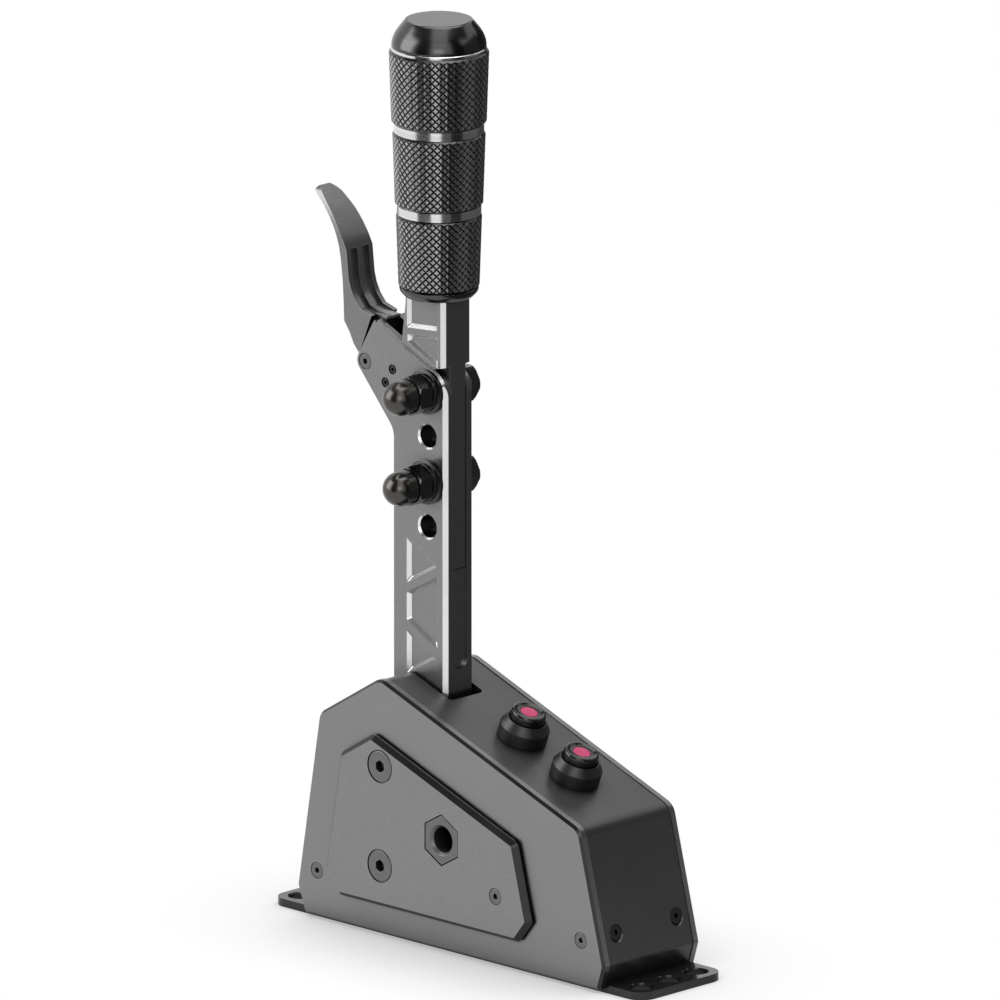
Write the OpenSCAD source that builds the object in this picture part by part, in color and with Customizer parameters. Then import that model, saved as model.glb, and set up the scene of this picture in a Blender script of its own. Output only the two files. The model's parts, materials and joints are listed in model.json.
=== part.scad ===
// Sequential gear shifter for a sim rig: a sprung lever, grip and finger trigger in a wedge shaped housing.
// Origin: centre of the bottom plate's underside. +X towards the driver, +Z up, millimetres.

/* [Bottom plate] */
// Length of the side plates' foot
foot_l = 149.4; // [147:0.2:158]
// Length of the ear at the far end
far_ear = 20; // [17:0.5:26]
// Length of the ear at the driver's end
near_ear = 18.6; // [17:0.2:26]
// Thickness of the bottom plate
base_t = 3; // [2.5:0.25:4]
// Corner radius of the bottom plate
base_corner_r = 6; // [3:0.5:7]
// Diameter of the mounting holes
mount_d = 8.4; // [6.4:0.1:8.8]
// Distance of the mounting holes from the plate's ends
mount_edge_x = 7.5; // [7:0.1:8.4]
// Distance of the outer mounting holes from the plate's sides
mount_edge_y = 7.7; // [7:0.1:9]

/* [Housing] */
// Width over the side plates
shell_w = 50; // [49:0.5:60]
// Thickness of a side plate
side_t = 3.2; // [2.6:0.1:3.6]
// Height of the side plates' lower edge above the underside
side_lift = 1.3; // [0.8:0.1:1.8]
// Bevel along the side plates' outer edge
side_bevel = 1; // [0.4:0.1:1.4]
// How far the heel stands out past the foot at the far end
heel_out = 3.7; // [3:0.1:4.4]
// Height of the heel
heel_h = 10; // [8:0.5:12]
// Distance of the back shoulder from the foot's far end
back_x = 7.5; // [6.5:0.1:8.5]
// Height of the back shoulder
back_h = 76.7; // [74:0.1:79]
// Distance of the peak from the foot's far end
peak_x = 38.5; // [37:0.1:40]
// Height of the peak
peak_h = 95.7; // [94:0.1:98]
// Distance of the nose from the foot's near end
nose_in = 9.8; // [8:0.1:11.5]
// Height of the nose
nose_h = 58.3; // [56:0.1:60]
// How far the toe stands out past the foot at the driver's end
toe_out = 2.8; // [2:0.1:3.6]
// Height of the toe
toe_h = 9.2; // [8:0.1:11]
// Radius of the housing's upper corners
crown_r = 6; // [4:0.5:8]
// Thickness of the folded cover
cover_t = 1.8; // [1.4:0.1:2.2]

/* [Raised side panels] */
// Thickness of a raised panel
panel_t = 3.3; // [2.6:0.1:4]
// Distance of the panel from the far edge
panel_far = 15.2; // [14:0.2:18]
// Distance of the panel from the back slope
panel_back = 17.1; // [16:0.1:20]
// Distance of the panel from the main slope
panel_top = 20; // [19:0.1:24]
// Distance of the panel from the driver's edge
panel_near = 31.5; // [30:0.1:36]
// Height of the panel's lower edge above the plate's
panel_low = 11; // [10:0.1:14]
// Length cut off the panel's two lower corners
panel_cut = 8.5; // [6:0.5:10]

/* [Lever] */
// Distance of the pivot from the foot's far end
pivot_x = 41.9; // [41:0.1:43]
// Height of the pivot above the plates' lower edge
pivot_h = 26.4; // [24:0.1:28]
// Lever throw each way, degrees
lever_throw = 3; // [2:0.25:4]
// Width of the lever across the housing
lever_w = 15; // [14:0.1:16]
// Depth of the lever along the housing
lever_d = 26.2; // [25:0.1:27]
// Width of the milled slot in the lever
slot_w = 8; // [7:0.1:9]
// Height of the slot's rounded lower end above the pivot
slot_foot = 71; // [66:0.5:80]
// Height of the highest clamping hole above the pivot
hole_top = 174.9; // [173:0.1:175.5]
// Distance between neighbouring clamping holes
hole_pitch = 16.9; // [16:0.1:18]
// Diameter of the clamping holes
hole_d = 8.4; // [8.2:0.1:9]
// Diameter of the pivot axle
axle_d = 10; // [8:0.5:12]
// Height of the stop shaft above the pivot
stop_h = 37.4; // [36:0.1:40]

/* [Grip] */
// Length of the grip
grip_l = 103; // [95:0.5:112]
// Largest diameter of the grip, at its top
grip_top_d = 36; // [33:0.2:39]
// Diameter of the grip sleeves at the bottom
grip_foot_d = 30; // [28:0.2:32]
// Height of a bright ring between two sleeves
ring_h = 3.5; // [2:0.1:5]
// Diameter of the core that the grip is threaded on
core_d = 12; // [10:0.5:14]

/* [Trigger] */
// Width of the trigger's blade
blade_w = 13.5; // [12:0.1:14]
// Pull of the trigger, degrees
trigger_pull = 7; // [4:0.5:7]

/* [Buttons] */
// Distance of the first button from the nose, along the slope
button_1_s = 56.8; // [55:0.1:60]
// Distance between the buttons
button_pitch = 28.4; // [27:0.1:30]
// Diameter of a button housing
button_d = 18.6; // [17.5:0.1:19.5]
// Diameter of a button cap
cap_d = 13; // [12:0.1:13.4]
// Travel of a button
button_travel = 1.5; // [0.8:0.1:2]

/* [Screws] */
// Head diameter of the large countersunk screws
big_head_d = 12.5; // [11.5:0.1:13]
// Head diameter of the small countersunk screws
small_head_d = 6.2; // [5.6:0.1:6.6]
// Width across flats of the hexagonal adjuster
adjuster_af = 17; // [15:0.5:18]
// Width across flats of the clamping bolts and nuts
bolt_af = 13; // [12:0.1:14]

/* [Hidden] */

$fn = 48;
// Clearance between pieces that lie face to face
fit = 0.05;
// Radial clearance of a turning shaft
run = 0.04;
// Depth to which a cut runs past a face
past = 1;

// Points of the housing's side view, clockwise from the foot's far end
base_l = far_ear + foot_l + near_ear;
foot_x = -base_l / 2 + far_ear;
toe_x = foot_x + foot_l;
inner_w = shell_w - 2 * side_t;
cover_gap = 0.3;
foot_r = 0.8;
shell = [
    [foot_x, side_lift],
    [foot_x - heel_out, side_lift + heel_h],
    [foot_x + back_x, side_lift + back_h],
    [foot_x + peak_x, side_lift + peak_h],
    [toe_x - nose_in, side_lift + nose_h],
    [toe_x + toe_out, side_lift + toe_h],
    [toe_x, side_lift]];
shell_r = [foot_r, crown_r / 2, crown_r, crown_r, crown_r, crown_r / 2, foot_r];
peak = shell[3];
nose = shell[4];
slope = atan2(peak[1] - nose[1], nose[0] - peak[0]);
nose_lean = atan2(shell[5][0] - nose[0], nose[1] - shell[5][1]);

// Plan geometry
function unit(v) = v / norm(v);
function cross_2d(a, b) = a[0] * b[1] - a[1] * b[0];
// Where the line through p along u meets the line through q along v
function meet(p, u, q, v) = p + u * cross_2d(q - p, v) / cross_2d(u, v);
// Corner p between neighbours a and b, as an arc of radius r
function corner(a, p, b, r, steps) =
    let (u = unit(a - p), v = unit(b - p), half = acos(u * v) / 2, centre = p + unit(u + v) * r / sin(half))
    let (s = p + u * r / tan(half) - centre, e = p + v * r / tan(half) - centre)
    let (start = atan2(s[1], s[0]), turn = atan2(cross_2d(s, e), s * e))
    [for (i = [0:steps]) centre + r * [cos(start + turn * i / steps), sin(start + turn * i / steps)]];
function rounded(points, radii, steps = 6) =
    let (n = len(points))
    [for (i = [0:n - 1])
        each (radii[i] > 0
            ? corner(points[(i + n - 1) % n], points[i], points[(i + 1) % n], radii[i], steps)
            : [points[i]])];
// A convex outline drawn in by d
function inset(points, d) =
    let (n = len(points))
    [for (i = [0:n - 1])
        let (u = unit(points[(i + n - 1) % n] - points[i]), v = unit(points[(i + 1) % n] - points[i]))
        points[i] + unit(u + v) * d / sin(acos(u * v) / 2)];
function lessened(radii, d) = [for (r = radii) max(r - d, 0.2)];
// The same outline with its lower edge moved to height z, along the end edges
function skirt(points, z) =
    let (n = len(points))
    [for (i = [0:n - 1])
        i == 0 ? meet(points[0], points[1] - points[0], [0, z], [1, 0])
        : i == n - 1 ? meet(points[n - 1], points[n - 2] - points[n - 1], [0, z], [1, 0])
        : points[i]];
// Point p of an outline cut off at length c on both sides
function cut_corner(a, p, b, c) = [p + unit(a - p) * c, p + unit(b - p) * c];
// Line from p to q moved to the right by d, as a point and a direction
function inner_line(p, q, d) = let (u = unit(q - p)) [p + [u[1], -u[0]] * d, u];
function meet_lines(a, b) = meet(a[0], a[1], b[0], b[1]);
// Point p turned about the origin
function turned(p, a) = [p[0] * cos(a) - p[1] * sin(a), p[0] * sin(a) + p[1] * cos(a)];

// Solids
// Extrudes an XZ outline across the housing, from y0 to y1
module slab(y0, y1) {
    translate([0, y1, 0])
        rotate([90, 0, 0])
            linear_extrude(y1 - y0)
                children();
}
module rod_y(x, z, r, y0, y1) {
    translate([x, y1, z])
        rotate([90, 0, 0])
            cylinder(h = y1 - y0, r = r);
}
module rod_x(y, z, r, x0, x1) {
    translate([x0, y, z])
        rotate([0, 90, 0])
            cylinder(h = x1 - x0, r = r);
}
module plate(x, y, r) {
    polygon(rounded([[-x / 2, -y / 2], [-x / 2, y / 2], [x / 2, y / 2], [x / 2, -y / 2]], [r, r, r, r]));
}
module mirrored_pair() {
    children();
    mirror([0, 1, 0])
        children();
}
// Places children on the left face y, with their +Z pointing out of the housing
module on_left(x, y, z) {
    translate([x, y, z])
        rotate([90, 0, 0])
            children();
}
// Countersunk screw, its head's flat at z = 0
module countersunk(head_d, shank_d, l) {
    head_h = (head_d - shank_d) / 2;
    key_d = head_d * 0.36;
    difference() {
        union() {
            translate([0, 0, -head_h])
                cylinder(h = head_h, r1 = shank_d / 2, r2 = head_d / 2);
            translate([0, 0, -l])
                cylinder(h = l - head_h, r = shank_d / 2);
        }
        translate([0, 0, -head_h * 0.8])
            cylinder(h = head_h, r = key_d / 2, $fn = 6);
    }
}
// The hole that the screw sits in
module countersink(head_d, shank_d, l) {
    head_h = (head_d - shank_d) / 2;
    translate([0, 0, -head_h])
        cylinder(h = head_h, r1 = shank_d / 2 + fit, r2 = head_d / 2 + fit);
    translate([0, 0, -l - fit])
        cylinder(h = l, r = shank_d / 2 + fit);
    cylinder(h = past, r = head_d / 2 + fit);
}
// Coil of round wire along +Z from z = 0, its ends cut square
coil_sides = 6;
coil_steps = 12;
module coil(r, wire, turns, l) {
    n = round(turns * coil_steps);
    rise = (l - wire) / n;
    ring = [for (k = [0:coil_sides - 1]) wire / 2 * [cos(360 * k / coil_sides), sin(360 * k / coil_sides)]];
    points = [for (i = [0:n]) for (q = ring)
        let (a = 360 * i / coil_steps)
        [(r + q[0]) * cos(a), (r + q[0]) * sin(a), wire / 2 + rise * i + q[1]]];
    sides = [for (i = [0:n - 1]) for (k = [0:coil_sides - 1])
        let (a = i * coil_sides + k, b = i * coil_sides + (k + 1) % coil_sides)
        each [[a, a + coil_sides, b], [b, a + coil_sides, b + coil_sides]]];
    low_end = [for (k = [1:coil_sides - 2]) [0, k, k + 1]];
    high = n * coil_sides;
    high_end = [for (k = [1:coil_sides - 2]) [high, high + k + 1, high + k]];
    polyhedron(points = points, faces = concat(sides, low_end, high_end));
}

// Places of the screws and shafts
pivot = [foot_x + pivot_x, side_lift + pivot_h];
stop = pivot + [0, stop_h];
adjuster_out = 31.3;
adjuster_up = 15.8;
adjuster = pivot + [adjuster_out, adjuster_up];
panel_screw_out = 58.6;
panel_screw = pivot + [panel_screw_out, 0];
side_screw_h = 17.2;
far_side_screw = [foot_x + 6.7, side_lift + side_screw_h];
near_side_screw = [toe_x - 8.9, side_lift + side_screw_h];
big_shank_d = 6;
small_shank_d = 3;
panel_face = shell_w / 2 + panel_t;
big_screw_l = panel_t + side_t + 12;
small_screw_l = side_t + 7;
adjuster_bore_d = 9.5;
adjuster_shank_d = 12;
adjuster_l = panel_t + side_t + 8;
cover_w = inner_w - 2 * fit;

// Bottom plate, with its two ears and three mounting holes in each
mount_x = base_l / 2 - mount_edge_x;
mount_y = inner_w / 2 - fit - mount_edge_y;
mount_chamfer = 0.6;
bottom_screw_y = 14;
post_t = 9;
post_gap = 9.9;
post_x = pivot[0] - lever_d / 2 - post_gap - post_t;
rear_block_x = post_x - 0.1;
front_block_x = near_side_screw[0] - 6;
bottom_screw_x = [foot_x + 5.3, post_x + post_t / 2, front_block_x + 6];
bottom_screw_l = base_t + 7;
module bottom_plate() {
    color("#6e6e70")
        difference() {
            linear_extrude(base_t)
                plate(base_l, inner_w - 2 * fit, base_corner_r);
            for (x = [-mount_x, mount_x]) for (y = [-mount_y, 0, mount_y])
                translate([x, y, 0]) {
                    translate([0, 0, -past])
                        cylinder(h = base_t + 2 * past, r = mount_d / 2);
                    translate([0, 0, base_t - mount_chamfer])
                        cylinder(
                            h = mount_chamfer + past,
                            r1 = mount_d / 2,
                            r2 = mount_d / 2 + mount_chamfer + past);
                }
            for (x = bottom_screw_x) for (y = [-bottom_screw_y, bottom_screw_y])
                translate([x, y, 0])
                    rotate([180, 0, 0])
                        countersink(small_head_d, small_shank_d, bottom_screw_l);
        }
}
module bottom_screws() {
    color("#303030")
        for (x = bottom_screw_x) for (y = [-bottom_screw_y, bottom_screw_y])
            translate([x, y, 0])
                rotate([180, 0, 0])
                    countersunk(small_head_d, small_shank_d, bottom_screw_l);
}
module bottom_screw_holes() {
    for (x = bottom_screw_x) for (y = [-bottom_screw_y, bottom_screw_y])
        translate([x, y, 0])
            cylinder(h = bottom_screw_l + 1, r = small_shank_d / 2 + fit);
}

// Side plates, bevelled round their outer edge
module side_plate_blank() {
    hull() {
        slab(-shell_w / 2 + side_bevel, -inner_w / 2)
            polygon(rounded(shell, shell_r));
        slab(-shell_w / 2, -inner_w / 2)
            polygon(rounded(inset(shell, side_bevel), lessened(shell_r, side_bevel)));
    }
}
module side_plate() {
    difference() {
        side_plate_blank();
        for (p = [pivot, stop])
            on_left(p[0], -shell_w / 2, p[1])
                translate([0, 0, -side_t - past])
                    cylinder(h = side_t + 2 * past, r = big_shank_d / 2 + fit);
        on_left(adjuster[0], -shell_w / 2, adjuster[1])
            translate([0, 0, -side_t - past])
                cylinder(h = side_t + 2 * past, r = adjuster_shank_d / 2 + fit);
        on_left(panel_screw[0], -shell_w / 2, panel_screw[1])
            translate([0, 0, -side_t - past])
                cylinder(h = side_t + 2 * past, r = small_shank_d / 2 + fit);
        for (p = [far_side_screw, near_side_screw])
            on_left(p[0], -shell_w / 2, p[1])
                countersink(small_head_d, small_shank_d, small_screw_l);
    }
}
module left_side_plate() {
    color("#868686")
        side_plate();
}
module right_side_plate() {
    color("#868686")
        mirror([0, 1, 0])
            side_plate();
}

// Raised panels, standing on a foot that is drawn in all round
panel_lines = [
    inner_line(shell[1], shell[2], panel_far),
    inner_line(shell[2], shell[3], panel_back),
    inner_line(shell[3], shell[4], panel_top),
    inner_line(shell[4], shell[5], panel_near),
    [[0, side_lift + panel_low], [-1, 0]]];
panel_ends = [
    meet_lines(panel_lines[4], panel_lines[0]),
    meet_lines(panel_lines[0], panel_lines[1]),
    meet_lines(panel_lines[1], panel_lines[2]),
    meet_lines(panel_lines[2], panel_lines[3]),
    meet_lines(panel_lines[3], panel_lines[4])];
panel_points = [
    each cut_corner(panel_ends[4], panel_ends[0], panel_ends[1], panel_cut),
    panel_ends[1],
    panel_ends[2],
    panel_ends[3],
    each cut_corner(panel_ends[3], panel_ends[4], panel_ends[0], panel_cut)];
panel_r = [1.5, 1.5, 3, 3, 3, 1.5, 1.5];
panel_foot_t = 0.9;
panel_foot_in = 0.9;
panel_rim_t = 0.7;
panel_bevel = panel_t - panel_foot_t - panel_rim_t;
module raised_panel() {
    difference() {
        union() {
            slab(-shell_w / 2 - panel_foot_t - past / 2, -shell_w / 2)
                polygon(rounded(inset(panel_points, panel_foot_in), lessened(panel_r, panel_foot_in)));
            hull() {
                slab(-panel_face + panel_bevel, -shell_w / 2 - panel_foot_t)
                    polygon(rounded(panel_points, panel_r));
                slab(-panel_face, -shell_w / 2 - panel_foot_t)
                    polygon(rounded(inset(panel_points, panel_bevel), lessened(panel_r, panel_bevel)));
            }
        }
        for (p = [pivot, stop])
            on_left(p[0], -panel_face, p[1])
                countersink(big_head_d, big_shank_d, big_screw_l);
        on_left(panel_screw[0], -panel_face, panel_screw[1])
            countersink(small_head_d, small_shank_d, small_screw_l);
        on_left(adjuster[0], -shell_w / 2, adjuster[1])
            translate([0, 0, -past])
                rotate(30)
                    cylinder(h = panel_t + 2 * past, r = adjuster_af / sqrt(3) + fit, $fn = 6);
    }
}
module left_raised_panel() {
    color("#868686")
        raised_panel();
}
module right_raised_panel() {
    color("#868686")
        mirror([0, 1, 0])
            raised_panel();
}

// Folded cover between the side plates: far end, back slope, main slope and driver's end
slot_reach = (peak[1] - pivot[1]) * sin(lever_throw) + lever_d / 2 + 0.1;
cover_slot_w = lever_w + 2.4;
cover_slot_r = 2;
cover_slot_low = nose[1];
driver_screw_h = 19.4;
driver_screw_y = 15.6;
driver_screw = meet(shell[4], shell[5] - shell[4], [0, side_lift + driver_screw_h], [1, 0]);
driver_screw_l = cover_t + 4;
port_h = 30.5;
port_w = 9;
port_t = 3.3;
socket_gap = 0.2;
// Places children on the driver's end panel, with their +Z pointing out
module on_driver_end(y) {
    translate([driver_screw[0], y, driver_screw[1]])
        rotate([0, 90 - nose_lean, 0])
            translate([0, 0, -cover_gap])
                children();
}
function button_foot(i) = nose + (button_1_s - i * button_pitch) * [-cos(slope), sin(slope)];
// Places children on the main slope at button i, with their +Z pointing out
module on_slope(i) {
    foot = button_foot(i);
    translate([foot[0], 0, foot[1]])
        rotate([0, 90 - (90 - slope), 0])
            translate([0, 0, -cover_gap])
                children();
}
barrel_d = 16;
module port_outline(grow) {
    end_r = port_t / 2 + grow;
    half = (port_w - port_t) / 2;
    translate([0, -half])
        circle(r = end_r);
    translate([0, half])
        circle(r = end_r);
    square([2 * end_r, 2 * half], center = true);
}
module top_cover() {
    color("#3a3a3b")
        difference() {
            slab(-cover_w / 2, cover_w / 2)
                difference() {
                    polygon(rounded(skirt(inset(shell, cover_gap), base_t),
                        [0, each [for (i = [1:5]) shell_r[i]], 0]));
                    polygon(rounded(skirt(inset(shell, cover_gap + cover_t), base_t - past),
                        [0, each [for (i = [1:5]) shell_r[i] - cover_t], 0]));
                }
            translate([pivot[0], 0, cover_slot_low])
                linear_extrude(peak[1])
                    plate(2 * slot_reach, cover_slot_w, cover_slot_r);
            for (i = [0, 1])
                on_slope(i)
                    translate([0, 0, -cover_t - past])
                        cylinder(h = cover_t + 2 * past, r = barrel_d / 2 + fit);
            for (y = [-driver_screw_y, driver_screw_y])
                on_driver_end(y)
                    countersink(small_head_d, small_shank_d, driver_screw_l);
            translate([foot_x - heel_out - past, 0, port_h])
                rotate([0, 90, 0])
                    linear_extrude(heel_out + cover_t + 2 * past)
                        port_outline(socket_gap);
        }
}

// Cross blocks that tie the side plates and carry the cover's screws
block_h = 26;
block_outline = rounded(skirt(inset(shell, cover_gap + cover_t + 0.1), base_t),
    [0, each [for (i = [1:5]) max(shell_r[i] - cover_t, 0.5)], 0]);
module front_block() {
    color("#8c8c8e")
        difference() {
            slab(-cover_w / 2, cover_w / 2)
                intersection() {
                    polygon(block_outline);
                    translate([front_block_x, base_t])
                        square([toe_x + toe_out - front_block_x, block_h - base_t + 3]);
                }
            bottom_screw_holes();
            mirrored_pair()
                on_left(near_side_screw[0], -shell_w / 2, near_side_screw[1])
                    countersink(small_head_d, small_shank_d, small_screw_l + 1);
            for (y = [-driver_screw_y, driver_screw_y])
                on_driver_end(y)
                    countersink(small_head_d, small_shank_d, driver_screw_l + 1);
        }
}
module rear_block() {
    color("#8c8c8e")
        difference() {
            slab(-cover_w / 2, cover_w / 2)
                intersection() {
                    polygon(block_outline);
                    translate([foot_x - heel_out, base_t])
                        square([rear_block_x - foot_x + heel_out, block_h - base_t]);
                }
            bottom_screw_holes();
            mirrored_pair()
                on_left(far_side_screw[0], -shell_w / 2, far_side_screw[1])
                    countersink(small_head_d, small_shank_d, small_screw_l + 1);
        }
}
module side_screws() {
    color("#303030")
        mirrored_pair()
            for (p = [far_side_screw, near_side_screw])
                on_left(p[0], -shell_w / 2, p[1])
                    countersunk(small_head_d, small_shank_d, small_screw_l);
}
module driver_end_screws() {
    color("#303030")
        for (y = [-driver_screw_y, driver_screw_y])
            on_driver_end(y)
                countersunk(small_head_d, small_shank_d, driver_screw_l);
}
module panel_screws() {
    color("#303030")
        mirrored_pair()
            on_left(panel_screw[0], -panel_face, panel_screw[1])
                countersunk(small_head_d, small_shank_d, panel_t + side_t);
}
module pivot_screws() {
    color("#303030")
        mirrored_pair()
            on_left(pivot[0], -panel_face, pivot[1])
                countersunk(big_head_d, big_shank_d, big_screw_l);
}
module stop_screws() {
    color("#303030")
        mirrored_pair()
            on_left(stop[0], -panel_face, stop[1])
                countersunk(big_head_d, big_shank_d, big_screw_l);
}
module hex_adjusters() {
    color("#7a7a7c")
        mirrored_pair()
            difference() {
                union() {
                    on_left(adjuster[0], -shell_w / 2, adjuster[1])
                        rotate(30)
                            cylinder(h = panel_t, r = adjuster_af / sqrt(3), $fn = 6);
                    rod_y(adjuster[0], adjuster[1], adjuster_shank_d / 2,
                        -panel_face + 0.5, -panel_face + adjuster_l);
                }
                rod_y(adjuster[0], adjuster[1], adjuster_bore_d / 2,
                    -panel_face - past, -panel_face + adjuster_l + past);
            }
}

// Shafts across the housing
stop_sleeve_t = 1;
stop_r = axle_d / 2 + stop_sleeve_t;
bearing_d = 19;
bearing_w = 5;
module threaded_shaft(p) {
    difference() {
        rod_y(p[0], p[1], axle_d / 2, -inner_w / 2 + fit, inner_w / 2 - fit);
        mirrored_pair()
            rod_y(p[0], p[1], big_shank_d / 2 + fit, -inner_w / 2 - past, -panel_face + big_screw_l + 1);
    }
}
module pivot_axle() {
    color("#b0b0b2")
        threaded_shaft(pivot);
}
module stop_shaft() {
    color("#b0b0b2")
        threaded_shaft(stop);
}
module pivot_spacers() {
    color("#9a9a9c")
        mirrored_pair()
            difference() {
                rod_y(pivot[0], pivot[1], axle_d / 2 + 1.5, -inner_w / 2 + fit, -lever_w / 2 - 0.3);
                rod_y(pivot[0], pivot[1], axle_d / 2 + fit, -inner_w / 2 - past, 0);
            }
}
module stop_sleeve() {
    color("#1c1c1c")
        difference() {
            rod_y(stop[0], stop[1], stop_r, -lever_w / 2 - 2, lever_w / 2 + 2);
            rod_y(stop[0], stop[1], axle_d / 2 + fit, -lever_w, lever_w);
        }
}

// Centring springs on a rod through the lever
rod_d = 6;
rod_head_af = 10;
rod_head_t = 3;
rod_z = adjuster[1];
rod_hole_r = rod_d / 2 + lever_d / 2 * sin(lever_throw) + 0.4;
spring_r = 6;
spring_wire = 1.6;
spring_turns = 4;
block_x = pivot[0] + lever_d / 2 + post_gap;
block_l = 17;
block_half_h = 11;
module adjuster_block() {
    color("#8c8c8e")
        difference() {
            translate([block_x, -cover_w / 2, rod_z - block_half_h])
                cube([block_l, cover_w, 2 * block_half_h]);
            mirrored_pair()
                rod_y(adjuster[0], adjuster[1], adjuster_shank_d / 2 + fit,
                    -inner_w, -panel_face + adjuster_l + 0.1);
            rod_x(0, rod_z, rod_d / 2 + fit, block_x - past, block_x + block_l - 2);
        }
}
module spring_post() {
    color("#8c8c8e")
        difference() {
            translate([post_x, -cover_w / 2, base_t])
                cube([post_t, cover_w, rod_z + block_half_h - base_t]);
            bottom_screw_holes();
            rod_x(0, rod_z, rod_d / 2 + fit, post_x - past, post_x + post_t + past);
        }
}
module spring_rod() {
    color("#b0b0b2") {
        rod_x(0, rod_z, rod_d / 2, post_x - fit, block_x + block_l - 3);
        translate([post_x - fit - rod_head_t, 0, rod_z])
            rotate([0, 90, 0])
                cylinder(h = rod_head_t, r = rod_head_af / sqrt(3), $fn = 6);
    }
}
module centring_spring(x) {
    translate([x, 0, rod_z])
        rotate([0, 90, 0])
            coil(spring_r, spring_wire, spring_turns, post_gap - 2 * fit);
}
module far_spring() {
    color("#c8c8c8")
        centring_spring(post_x + post_t + fit);
}
module near_spring() {
    color("#c8c8c8")
        centring_spring(block_x - post_gap + fit);
}

// Electronics
board_t = 1.6;
board_z = base_t + 5;
board_x = block_x + block_l + 4;
board_l = front_block_x - board_x - 6;
board_w = 34;
standoff_d = 5;
sensor_l = 18;
sensor_w = 14;
sensor_z = pivot[1] - lever_d / 2 - 5.2;
magnet_d = 6;
magnet_t = 2.5;
chip = [9, 9, 1.2];
plug_block = [8, 12, 6];
board_hole_in = 3.5;
module circuit_board() {
    color("#1f5a34")
        difference() {
            translate([board_x, -board_w / 2, board_z])
                cube([board_l, board_w, board_t]);
            for (x = [board_x + board_hole_in, board_x + board_l - board_hole_in])
                for (y = [-board_w / 2 + board_hole_in, board_w / 2 - board_hole_in])
                    translate([x, y, board_z - past])
                        cylinder(h = board_t + 2 * past, r = 1.1);
        }
    color("#202020") {
        translate([board_x + board_l / 2 - chip[0] / 2, -chip[1] / 2, board_z + board_t])
            cube(chip);
        translate([board_x + 8, board_w / 2 - 16, board_z + board_t])
            cube(plug_block);
    }
}
module board_standoffs() {
    color("#c0a050") {
        for (x = [board_x + board_hole_in, board_x + board_l - board_hole_in])
            for (y = [-board_w / 2 + board_hole_in, board_w / 2 - board_hole_in])
                translate([x, y, base_t])
                    cylinder(h = board_z - base_t, r = standoff_d / 2);
        for (y = [-sensor_w / 2 + 2.5, sensor_w / 2 - 2.5])
            translate([pivot[0], y, base_t])
                cylinder(h = sensor_z - base_t, r = 2);
    }
}
module sensor_board() {
    color("#1f5a34")
        translate([pivot[0] - sensor_l / 2, -sensor_w / 2, sensor_z])
            cube([sensor_l, sensor_w, board_t]);
    color("#202020")
        translate([pivot[0] - 2, -2, sensor_z + board_t])
            cube([4, 4, 1]);
}
port_board_x = post_x - fit - board_t;
port_wall = 0.4;
socket_x = meet(shell[1], shell[2] - shell[1], [0, port_h], [1, 0])[0] + cover_gap + 0.3;
module port_board() {
    color("#1f5a34")
        translate([port_board_x, -9, block_h + 0.3])
            cube([board_t, 18, 8.5]);
}
module data_socket() {
    color("#b8b8ba")
        translate([socket_x, 0, port_h])
            rotate([0, 90, 0])
                difference() {
                    linear_extrude(port_board_x - fit - socket_x)
                        port_outline(0);
                    translate([0, 0, -past])
                        linear_extrude(port_board_x - fit - socket_x - 1)
                            port_outline(-port_wall);
                }
}

// Buttons: a threaded housing, a nut under the cover, a sprung cap and a switch below it
button_cyl_h = 5.5;
button_top_h = 8.2;
cap_top_h = 11.6;
cap_bore_r = cap_d / 2 + 0.3;
barrel_l = 13;
barrel_floor = 9.5;
stem_r = 2.6;
nut_af = 21;
nut_h = 3;
cap_skirt = 3.4;
switch_h = 2.4;
dish = 0.5;
lens_r = 3.3;
lens_h = 1;
module button_housing() {
    rotate_extrude()
        polygon([
            [cap_bore_r, button_top_h],
            [cap_bore_r + 0.5, button_top_h],
            [button_d / 2 - 0.4, button_cyl_h + 0.2],
            [button_d / 2, button_cyl_h - 0.4],
            [button_d / 2, 0],
            [barrel_d / 2, 0],
            [barrel_d / 2, -barrel_l],
            [barrel_d / 2 - 1.8, -barrel_l],
            [barrel_d / 2 - 1.8, -barrel_floor - 1],
            [stem_r + 0.3, -barrel_floor - 1],
            [stem_r + 0.3, -barrel_floor],
            [cap_bore_r, -barrel_floor]]);
}
module button_cap() {
    difference() {
        rotate_extrude()
            polygon([
                [0, cap_top_h - dish],
                [cap_d / 2 - 1.8, cap_top_h - dish],
                [cap_d / 2 - 1, cap_top_h],
                [cap_d / 2 - 0.6, cap_top_h],
                [cap_d / 2, cap_top_h - 0.8],
                [cap_d / 2, -cap_skirt],
                [stem_r, -cap_skirt],
                [stem_r, -barrel_floor - 1 + button_travel + 0.1],
                [0, -barrel_floor - 1 + button_travel + 0.1]]);
        translate([0, 0, cap_top_h - dish - lens_h])
            cylinder(h = lens_h + past, r = lens_r + fit);
    }
}
module button_lens() {
    translate([0, 0, cap_top_h - dish - lens_h + fit])
        cylinder(h = lens_h, r = lens_r);
}
module button_1_housing() {
    color("#1a1a1a")
        on_slope(0)
            button_housing();
}
module button_2_housing() {
    color("#1a1a1a")
        on_slope(1)
            button_housing();
}
module button_nuts() {
    color("#2a2a2a")
        for (i = [0, 1])
            on_slope(i)
                difference() {
                    translate([0, 0, -cover_t - nut_h - fit])
                        cylinder(h = nut_h, r = nut_af / sqrt(3), $fn = 6);
                    translate([0, 0, -barrel_l])
                        cylinder(h = barrel_l, r = barrel_d / 2 + fit);
                }
}
module button_switches() {
    color("#202020")
        for (i = [0, 1])
            on_slope(i)
                translate([-3.8, -3.8, -barrel_floor - 1 - fit - switch_h])
                    cube([7.6, 7.6, switch_h]);
}
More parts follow.
